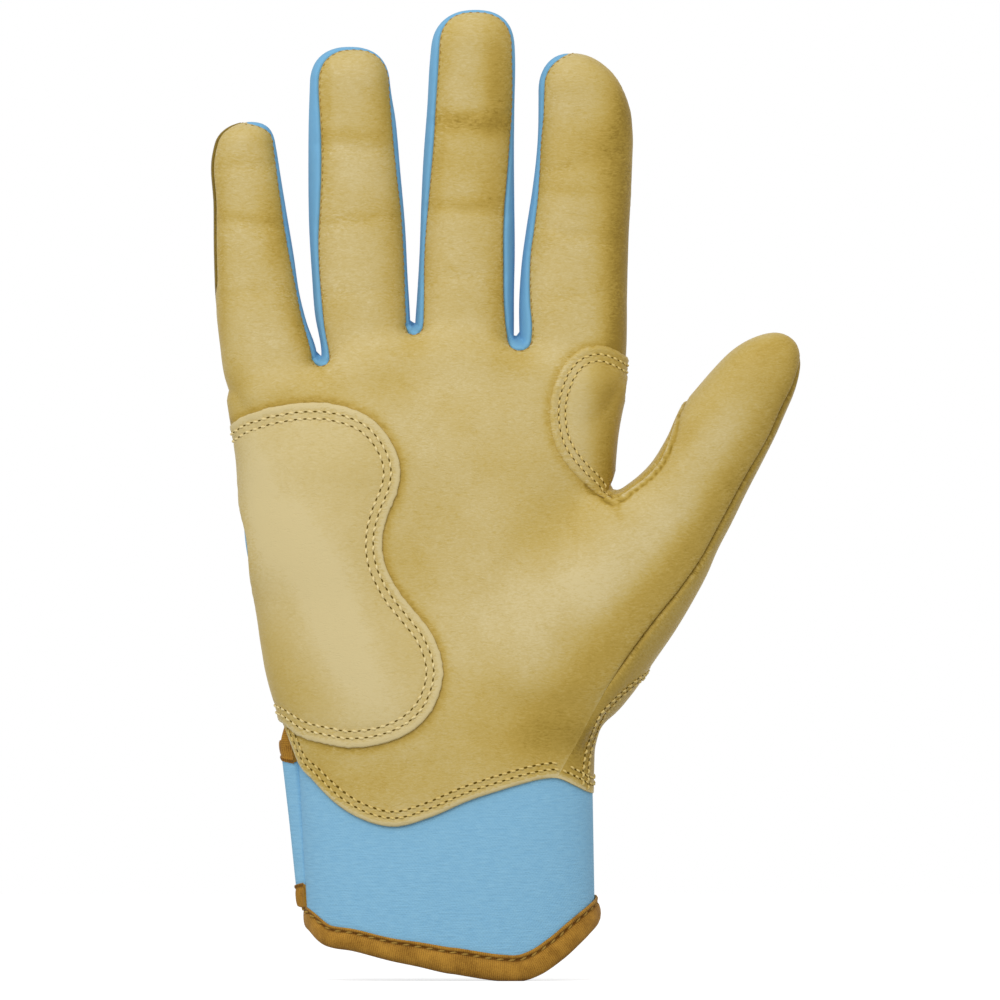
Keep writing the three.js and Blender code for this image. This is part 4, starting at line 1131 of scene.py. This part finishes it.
crotchPatch = cutPanel(
    "crotch_patch_skin",
    [(patchOutline, patchEdge), (lambda p: patch["back"] - p[:, 1], turnedEdge), (besideThumb, turnedEdge)],
    lift=patch["lift"], rows=[(patchEdge, level) for level in (2.2, 3.9, 1.1, 3.0, 5.0)], finer=(0.15, 0.4))
addPiece(dressLeather(crotchPatch, 0.38, patchLightAndShade, seamShade=0.2), "pad", ["crotch_patch"])
goldThread = {"finish": "gold thread", "pitch": 2.0, "stroke": 1.3, "thick": 0.62}
sew("patch_stitches_outer", crotchPatch["lines"][0], **goldThread)
sew("patch_stitches_inner", crotchPatch["lines"][1], shift=0.3, **goldThread)


def besidePatch(points):
    return patchOutline(points) - 50 * (points[:, 0] > patch["right"])


# The palm leather: painted shadow round pad and patch, a painted highlight along the faded thumb seam, and
# painted light and shade on the crotch seam's bead.
addPiece(dressLeather(palmLeather, rim=[waveEdge], pale=1.0, around=[(padOutline, 0.6), (besidePatch, 0.4)],
                      ridge=(thumbSeamEdge, -0.26, 0.7), bead=[crotchEdge]),
         "palm", ["palm_leather"])
waveThread = {"finish": "gold thread", "slot": "tan_leather", "pitch": 2.2, "thick": 0.6}
sew("wave_stitches_low", palmLeather["lines"][0], **waveThread)
sew("wave_stitches_high", palmLeather["lines"][1], shift=0.3, **waveThread)
sew("finger_edge_stitches", palmLeather["lines"][2], "tan thread", "tan_leather", holes=False,
    pitch=1.8, stroke=1.0, thick=0.3, rise=0.02)

# The sewn hem down the wrist side of the thumb, seen as x at each height, and its height on the back.
thumbHem = {
    "rows": [(44, 33.6), (52, 33.7), (55.5, 34.0), (58, 34.6), (60, 35.3), (62.5, 36.2), (64.5, 37.0),
             (66.8, 38.1), (69, 40.2), (71.5, 42.7), (73.5, 45.2), (75.5, 47.6), (77.2, 50.4), (78.6, 54),
             (79.2, 120)],
    "back": 78.8, "onBack": (-1, 5),
}


def hemField(points):
    x, y, z = points.T
    onBack = ease(*thumbHem["onBack"], y)
    return (x - np.interp(z, *zip(*thumbHem["rows"]))) * (1 - onBack) + (thumbHem["back"] - z) * onBack


thumbBack = cutPanel("thumb_back_skin", [(more(thumbBackField, thumbRoom), thumbSeamEdge),
                                         (thumbBottom, waveEdge)],
                     rows=[(waveEdge, 2.1), (waveEdge, 3.7), (thumbSeamEdge, 1.0)],
                     tracks=[(hemField, 0.0), (hemField, 1.25)], faint=seamDepth)
# Painted shade beside the faded thumb seam on the thumb's back.
thumbBack = dressLeather(thumbBack, 0.36, isThumb=True, rim=[waveEdge], pale=1.0,
                         ridge=(thumbSeamEdge, 0.14, 4.5))
addPiece(thumbBack, "palm", ["thumb_back"])
for place, name in ((0, "low"), (1, "high"), (3, "inner"), (4, "outer")):
    sew(f"thumb_hem_stitches_{name}", thumbBack["lines"][place], "gold thread", "tan_leather",
        pitch=2.0, stroke=1.3, thick=0.8 if place > 2 else 0.6, shift=0.25 * place)

thumbGusset = cutPanel("thumb_gusset_skin",
                       [(more(gussetField), softEdge), (less(thumbBackField, thumbRoom), turnedEdge)])
addPiece(dressLeather(thumbGusset, 0.4, isThumb=True), "palm", ["thumb_gusset"])

littleStrip = cutPanel("little_side_strip_skin", [(more(sideStrip), softEdge), (less(behind), turnedEdge)])
addPiece(dressLeather(littleStrip, 0.3), "olive", ["little_side_strip"])

for place, name in enumerate(("little_ring", "ring_middle", "middle_index")):
    wall = cutPanel(f"fourchette_{name}_skin",
                    [(more(blueWalls), softEdge), (less(behind), backSeamEdge),
                     (besideMiddle(place), flatEdge), (besideMiddle(place + 1, -1), flatEdge)], faint=seamDepth)
    addPiece(wall, "blue", [f"fourchette_{name}"])

back = {"bottom": 62.6, "knuckles": 149, "between": [-90, -34, -8.6, 17.6, 90]}
backPanel = cutPanel(
    "back_panel_skin",
    [(more(behind), backSeamEdge), (less(thumbBackField, thumbRoom), thumbSeamEdge),
     (less(gussetField), turnedEdge),
     (past(2, back["bottom"]), softEdge), (past(2, back["knuckles"], -1), softEdge)])
addPiece(backPanel, "blue", ["back_panel"])
for place, name in enumerate(("little", "ring", "middle", "index")):
    left, right = back["between"][place:place + 2]
    fingerBack = cutPanel(
        f"{name}_finger_back_skin",
        [(more(behind), backSeamEdge), (past(2, back["knuckles"]), softEdge),
         (past(0, left), softEdge), (past(0, right, -1), softEdge)])
    addPiece(fingerBack, "blue", [f"{name}_finger_back"])

# The cuff, its bindings and the strap are made flat, as run, out and height, and then wrapped round the wrist.
wrist = {"height": 54, "width": 76.4, "depth": 36.4, "middle": 0.1, "lean": 1.9, "taper": 2, "roundness": 2.5}
cuff = {"top": 66, "thick": 1.6, "grow": -1.3, "start": math.radians(150), "girthAt": 40, "steps": 1440,
        "slitX": -17, "slitHalf": 2.5, "slitTop": 46, "slitFrom": 4.4, "slitBinding": 0.68}
hem = {
    "rise": 16, "fold": 1.1, "steps": 480, "seam": (4.1, 0.35),
    # narrower at the little finger's side, and flatter where the strap begins: how much, from x, to x
    "narrow": (0.16, 4, -20), "flat": (0.7, -30, -35),
    # share of the turn from the thumb by the back, share of the rise
    "rows": [(-0.036, 0.81), (0, 0.9), (0.125, 0.86), (0.25, 0.79), (0.4, 0.82), (0.49, 0.84), (0.54, 0.77),
             (0.598, 0.53), (0.646, 0.46), (0.697, 0.31), (0.728, 0.22), (0.759, 0.09), (0.786, 0.02),
             (0.816, 0.01), (0.839, 0.1), (0.873, 0.32), (0.9125, 0.58), (0.964, 0.81), (1, 0.9),
             (1.125, 0.86)],
}


def bendTo(value):
    return np.sign(value) * np.abs(value) ** (2 / wrist["roundness"])


def wristPoint(angle, height):
    share = height / wrist["height"]
    half = (wrist["width"] - wrist["taper"] * (1 - share)) / 2 + cuff["grow"]
    x = wrist["middle"] + wrist["lean"] * (0.5 - share) + half * bendTo(np.cos(angle))
    y = (wrist["depth"] / 2 + cuff["grow"]) * bendTo(np.sin(angle))
    return np.stack([x, y, height], -1)


# Turn and way round the wrist go together through a fine table.
turns = cuff["start"] + np.linspace(0, 2 * math.pi, cuff["steps"] + 1)
girthPoints = wristPoint(turns, np.full(turns.shape, float(cuff["girthAt"])))
girth = lengthAlong(girthPoints)


def hemHeight(run):
    share = (np.interp(run, girth, turns) / (2 * math.pi)) % 1
    return through(hem["rows"], share)[0] * hem["rise"] + hem["fold"]


def wrapCuff(points):
    run, out, height = points.T
    angle = np.interp(run, girth, turns)
    along = wristPoint(angle + 0.01, height) - wristPoint(angle - 0.01, height)
    normal = unit(np.stack([along[:, 1], -along[:, 0], 0 * run], 1))
    return wristPoint(angle, height) + normal * out[:, None]


def flatSheet(left, right, low, high, step=1.1):
    across, up = (np.linspace(a, b, int((b - a) / step) + 1) for a, b in ((left, right), (low, high)))
    run, height = (part.ravel() for part in np.meshgrid(across, up, indexing="ij"))
    number = np.arange(run.size).reshape(len(across), len(up))
    a, b, c, d = (part.ravel() for part in (number[:-1, :-1], number[1:, :-1], number[1:, 1:], number[:-1, 1:]))
    return {"points": np.stack([run, 0 * run, height], 1), "outward": np.tile([0.0, 1.0, 0.0], (run.size, 1)),
            "faces": np.concatenate([np.stack([a, b, c], 1), np.stack([a, c, d], 1)])}


# Brings a flat piece to its place. Its weave stays with its flat shape.
def wrapped(solid, wrap):
    solid.setdefault("weave", solid["points"].copy())
    solid["points"] = wrap(solid["points"])
    return solid


slitTurn = girth[np.argmin(np.where(girthPoints[:, 1] > 0, np.abs(girthPoints[:, 0] - cuff["slitX"]), 1e9))]


def slitField(points):
    run, _, height = points.T
    above = np.maximum(0, height - cuff["slitTop"] + cuff["slitHalf"])
    return np.hypot(run - slitTurn, above) - cuff["slitHalf"]


cuffKnit = cutPanel("cuff_knit",
                    [(lambda p: p[:, 2] - hemHeight(p[:, 0]) - 0.1, softEdge), (slitField, softEdge)],
                    cuff["thick"], base=flatSheet(0, girth[-1], 0, cuff["top"]))
addPiece(wrapped(cuffKnit, wrapCuff), "knit", ["cuff"])

# Round a binding: height over the cloth, distance in from its edge.
bindingRing = [
    (0.1, 5.0), (0.35, 5.35), (0.7, 5.3), (0.9, 4.95), (0.8, 4.55), (0.42, 4.25), (0.42, 3.95), (0.85, 3.65),
    (1.25, 3.1), (1.5, 2.2), (1.58, 1.2), (1.45, 0.2), (1.1, -0.6), (0.4, -1.15), (-0.6, -1.35), (-1.6, -1.2),
    (-2.3, -0.7), (-2.75, 0.1), (-2.85, 1.2), (-2.75, 2.6), (-2.5, 3.9), (-2.1, 4.6), (-1.75, 4.5), (-1.7, 2.4),
    (-1.7, 0.3), (-0.8, 0.02), (0.05, 0.3), (0.05, 2.6),
]
grooveInset, grooveWidth = 4.15, 0.35  # the sunk line of stitches in the binding


# A binding along a flat edge, given as places and directions into the cloth.
def bindingAlong(name, edge, ring=bindingRing, closed=False, size=1.0, swell=1.0):
    line, inward = np.swapaxes(np.array(edge, float), 0, 1)[:, :, None]
    ring, count, sides = np.array(ring), len(edge), len(ring)
    size, swell = (np.broadcast_to(value, count)[:, None, None] for value in (size, swell))
    height, inset = ring[:, :1], ring[:, 1:]
    out = height * np.where(height > 0, swell, 1)
    points = (line + inward * inset * size + np.array([0, 1, 0]) * out).reshape(-1, 3)
    faces = tubeFaces(count, sides, closed)
    for i, way in () if closed else ((0, 1), (count - 1, -1)):
        centre = len(points)
        points = np.concatenate([points, points[i * sides:(i + 1) * sides].mean(0)[None]])
        faces += [(centre, i * sides + k, i * sides + (k + 1) % sides)[::way] for k in range(sides)]
    # Where the binding's colour is darkened as painted shade in its groove.
    groove = hump(ring[:, 1] - grooveInset, grooveWidth) * (ring[:, 0] > 0.2)
    weave = np.stack([np.repeat(lengthAlong(line[:, 0]), sides), *np.tile(ring.T, count)], 1)
    ends = len(points) - count * sides
    return {"name": name, "points": points, "faces": np.array(faces),
            "groove": np.concatenate([np.tile(groove, count), np.zeros(ends)]),
            "weave": np.concatenate([weave, np.zeros((ends, 3))])}


# Places and directions along a straight part of a flat edge, and round an arc of it.
def straightEdge(places, inward):
    return [((run, 0, height), inward) for run, height in places]


def arcEdge(run, height, radius, angles, way=1):
    ways = [(math.cos(a), math.sin(a)) for a in angles]
    return [((run + radius * u, 0, height + radius * v), (way * u, 0, way * v)) for u, v in ways]


runs = np.linspace(0, girth[-1], hem["steps"] + 1)[:-1]
hemLine = np.stack([runs, 0 * runs, hemHeight(runs)], 1)
slope = np.gradient(hemLine[:, 2], runs)
hemInward = unit(np.stack([-slope, 0 * slope, 1 + 0 * slope], 1))
hemX = wrapCuff(hemLine)[:, 0]
hemSize, hemSwell = (1 - much * ease(start, end, hemX) for much, start, end in (hem["narrow"], hem["flat"]))
hemBand = bindingAlong("hem_binding_band", np.stack([hemLine, hemInward], 1), closed=True, size=hemSize,
                       swell=hemSwell)
addPiece(wrapped(hemBand, wrapCuff), "binding", ["hem_binding"])
seamInset, seamOut = hem["seam"]
grooveLine = hemLine + hemInward * seamInset * hemSize[:, None] + np.array([0, seamOut, 0])
sew("hem_stitches", [(grooveLine, np.tile([0.0, 1.0, 0.0], (len(grooveLine), 1)))], "tan thread",
    "brown_binding", holes=False, wrap=wrapCuff, pitch=3.0, stroke=1.9, thick=0.62)

half, top = cuff["slitHalf"], cuff["slitTop"] - cuff["slitHalf"]
heights = np.linspace(hemHeight(np.array([slitTurn]))[0] + cuff["slitFrom"], top, 60)
slitEdge = (straightEdge([(slitTurn + half, z) for z in heights], (1, 0, 0))
            + arcEdge(slitTurn, top, half, np.linspace(0, math.pi, 40)[1:-1])
            + straightEdge([(slitTurn - half, z) for z in heights[::-1]], (-1, 0, 0)))
slitRing = [(out, inset * cuff["slitBinding"]) for out, inset in bindingRing]
addPiece(wrapped(bindingAlong("slit_binding_band", slitEdge, slitRing), wrapCuff), "binding")

strap = {
    "low": 19.9, "high": 58.6, "endX": 21, "corner": 8, "thick": 1.4, "from": 192.8, "to": 45,
    "liftRoot": 1.0, "liftEnd": 2.9, "riseFrom": 0.1, "riseTo": 0.45, "sewnFrom": 0.018, "before": -0.1,
    "lean": 0.064, "leanMiddle": 35, "rootLean": 0.027, "rootMiddle": 24, "leanRuns": (42, 16),
    "sewnTo": 0.065, "sewnDepth": 2.0, "rootLength": 6, "bindingBefore": 0.4, "margin": 0.5,
    # its binding is narrower at a place near the root: how much, run from the root, reach
    "neck": (0.35, 8, 6), "inset": 0.6, "inner": 0.7, "lip": 0.5, "outer": 0.25, "lipInset": 4,
}
tail = {"start": 3.0, "lean": 0.3, "below": 1, "length": 6.5, "places": 14, "size": (0.62, 0.3)}
pathShare = np.linspace(strap["before"], 1, 1000)
pathAngle = np.radians(strap["from"] + (strap["to"] - strap["from"]) * pathShare)
pathLift = strap["liftRoot"] + (strap["liftEnd"] - strap["liftRoot"]) * ease(
    strap["riseFrom"], strap["riseTo"], pathShare)
pathLift -= strap["sewnDepth"] * ease(strap["sewnTo"], strap["sewnFrom"], pathShare)  # sewn down at the root
pathGrow = cuff["grow"] + pathLift + strap["thick"]
strapPath = np.stack([(wrist["width"] / 2 + pathGrow) * bendTo(np.cos(pathAngle)),
                      (wrist["depth"] / 2 + pathGrow) * bendTo(np.sin(pathAngle))], 1)
strapRun = lengthAlong(strapPath)
strapNormal = unit(np.gradient(strapPath, strapRun, axis=0)[:, ::-1] * (-1, 1))
lean = (wrist["lean"] + wrist["taper"] / 2) / wrist["height"]
leanFrom = wrist["middle"] - wrist["lean"] / 2 + wrist["height"] * lean
strapEnd = np.interp(strap["endX"], strapPath[:, 0], strapRun)
strapStart = np.interp(strap["sewnFrom"], pathShare, strapRun)
low, high, corner = strap["low"], strap["high"], strap["corner"]


def wrapStrap(points):
    run, out, height = points.T
    base, normal = (np.stack([np.interp(run, strapRun, column) for column in data.T], 1)
                    for data in (strapPath, strapNormal))
    x, y = (base + unit(normal) * out[:, None]).T
    atRoot = ease(strapStart + strap["rootLength"], strapStart, run)
    rootLean = (strap["lean"] * (height - strap["leanMiddle"]) * (1 - atRoot)
                + strap["rootLean"] * (height - strap["rootMiddle"]) * atRoot) * ease(*strap["leanRuns"], run)
    return np.stack([x + leanFrom - lean * height - rootLean, y, height], 1)


def strapField(points):
    run, _, height = points.T
    a, b = run - strapEnd + corner, np.abs(height - (low + high) / 2) - (high - low) / 2 + corner
    return corner - np.hypot(np.maximum(a, 0), np.maximum(b, 0)) - np.minimum(np.maximum(a, b), 0)


margin = strap["margin"]
strapSheet = flatSheet(strapStart - 2 * margin, strapEnd + margin, low - margin, high + margin)
strapKnit = cutPanel("strap_knit", [(strapField, softEdge), (lambda p: p[:, 0] - strapStart, rawEdge)],
                     strap["thick"], base=strapSheet)
strapPiece = addPiece(wrapped(strapKnit, wrapStrap), "knit", ["strap"], None)

reach = strapEnd - corner
sideRuns = np.linspace(strapStart - strap["bindingBefore"], reach, 130)
quarter = np.linspace(0, math.pi / 2, 16)
endHeights = np.linspace(low + corner, high - corner, 30)[1:-1]
strapEdge = (straightEdge([(u, low) for u in sideRuns], (0, 0, 1))
             + arcEdge(reach, low + corner, corner, quarter[1:] - math.pi / 2, -1)
             + straightEdge([(strapEnd, z) for z in endHeights], (-1, 0, 0))
             + arcEdge(reach, high - corner, corner, quarter, -1)
             + straightEdge([(u, high) for u in sideRuns[::-1][1:]], (0, 0, -1)))
strapRing = [(out * strap["inner" if out < 0 else "lip" if inset > strap["lipInset"] else "outer"],
              inset - strap["inset"]) for out, inset in bindingRing[:-5]]
much, at, neckReach = strap["neck"]
strapSize = 1 - much * hump(np.array([place[0] for place, _ in strapEdge]) - strapStart - at, neckReach)
strapBand = bindingAlong("strap_binding_band", strapEdge, strapRing, size=strapSize)
bandPiece = addPiece(wrapped(strapBand, wrapStrap), "binding", ["strap_binding"], None)
# Its cut end goes on up beside the leather.
tailPlaces = [(strapStart + tail["start"] - tail["lean"] * k, high - tail["below"] + k)
              for k in np.linspace(0, tail["length"], tail["places"])]
tailBand = bindingAlong("strap_binding_tail", straightEdge(tailPlaces, (-1, 0, 0)), strapRing,
                        size=np.linspace(*tail["size"], tail["places"]))
addPiece(wrapped(tailBand, wrapStrap), "binding")
for piece in (strapPiece, bandPiece):
    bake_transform(piece)

for node in ("loop_tape", "hook_tape"):
    tape = bpy.data.objects[node]
    tape.data.materials.clear()
    tape.data.materials.append(finishes["tape"])
print("cuff, bindings and strap made")

view = {"middle": (13, 0, 120), "width": 250, "lens": 1000, "sensor": 36}
studio = {"world": 0.75, "key": 3.7, "keyPlace": (-240, -820, 560), "keySize": 0.6, "floor": 0.72,
          "floorHalf": 1.5}
white = (1, 1, 1, 1)


def addObject(name, data):
    made = bpy.data.objects.new(name, data)
    bpy.context.scene.collection.objects.link(made)
    return made


half = studio["floorHalf"]
floorMesh = bpy.data.meshes.new("floor")
floorMesh.from_pydata([(-half, -half, 0), (half, -half, 0), (half, half, 0),
                       (-half, half, 0)], [], [(0, 1, 2, 3)])
f = finishOf("pale floor")
diffuse = f.node("ShaderNodeBsdfDiffuse", None, {"Color": (0.5, 0.5, 0.5, 1)})
dark, glow = (f.node("ShaderNodeEmission", None, {"Color": white, "Strength": strength})
              for strength in (0.0, studio["floor"]))
shown = f.node("ShaderNodeMixShader", None, {0: f.direct(), 1: dark, 2: glow})
f.node("ShaderNodeOutputMaterial", None,
       {"Surface": f.node("ShaderNodeAddShader", None, {0: diffuse, 1: shown})})
floorMesh.materials.append(f.owner)
floor = addObject("floor", floorMesh)

f = Finish(bpy.data.worlds.new("studio"))
lit, seen = (f.node("ShaderNodeBackground", None, {"Color": white, "Strength": strength})
             for strength in (studio["world"], 1.0))
f.node("ShaderNodeOutputWorld", None,
       {"Surface": f.node("ShaderNodeMixShader", None, {0: f.direct(), 1: lit, 2: seen})})
bpy.context.scene.world = f.owner

lamp = bpy.data.lights.new("key", "AREA")
lamp.energy, lamp.size = studio["key"], studio["keySize"]
key = addObject("key", lamp)
key.location = Vector(studio["keyPlace"]) * metres
key.rotation_euler = (Vector(view["middle"]) * metres - key.location).to_track_quat("-Z", "Y").to_euler()

camera = addObject("camera", bpy.data.cameras.new("camera"))
camera.data.lens, camera.data.sensor_width = view["lens"], view["sensor"]
distance = view["width"] * view["lens"] / view["sensor"]
camera.location = Vector((view["middle"][0], -distance, view["middle"][2])) * metres
camera.rotation_euler = (math.pi / 2, 0, 0)
bpy.context.scene.camera = camera
bpy.context.scene.view_settings.view_transform = "Standard"
print("floor, light and camera set")
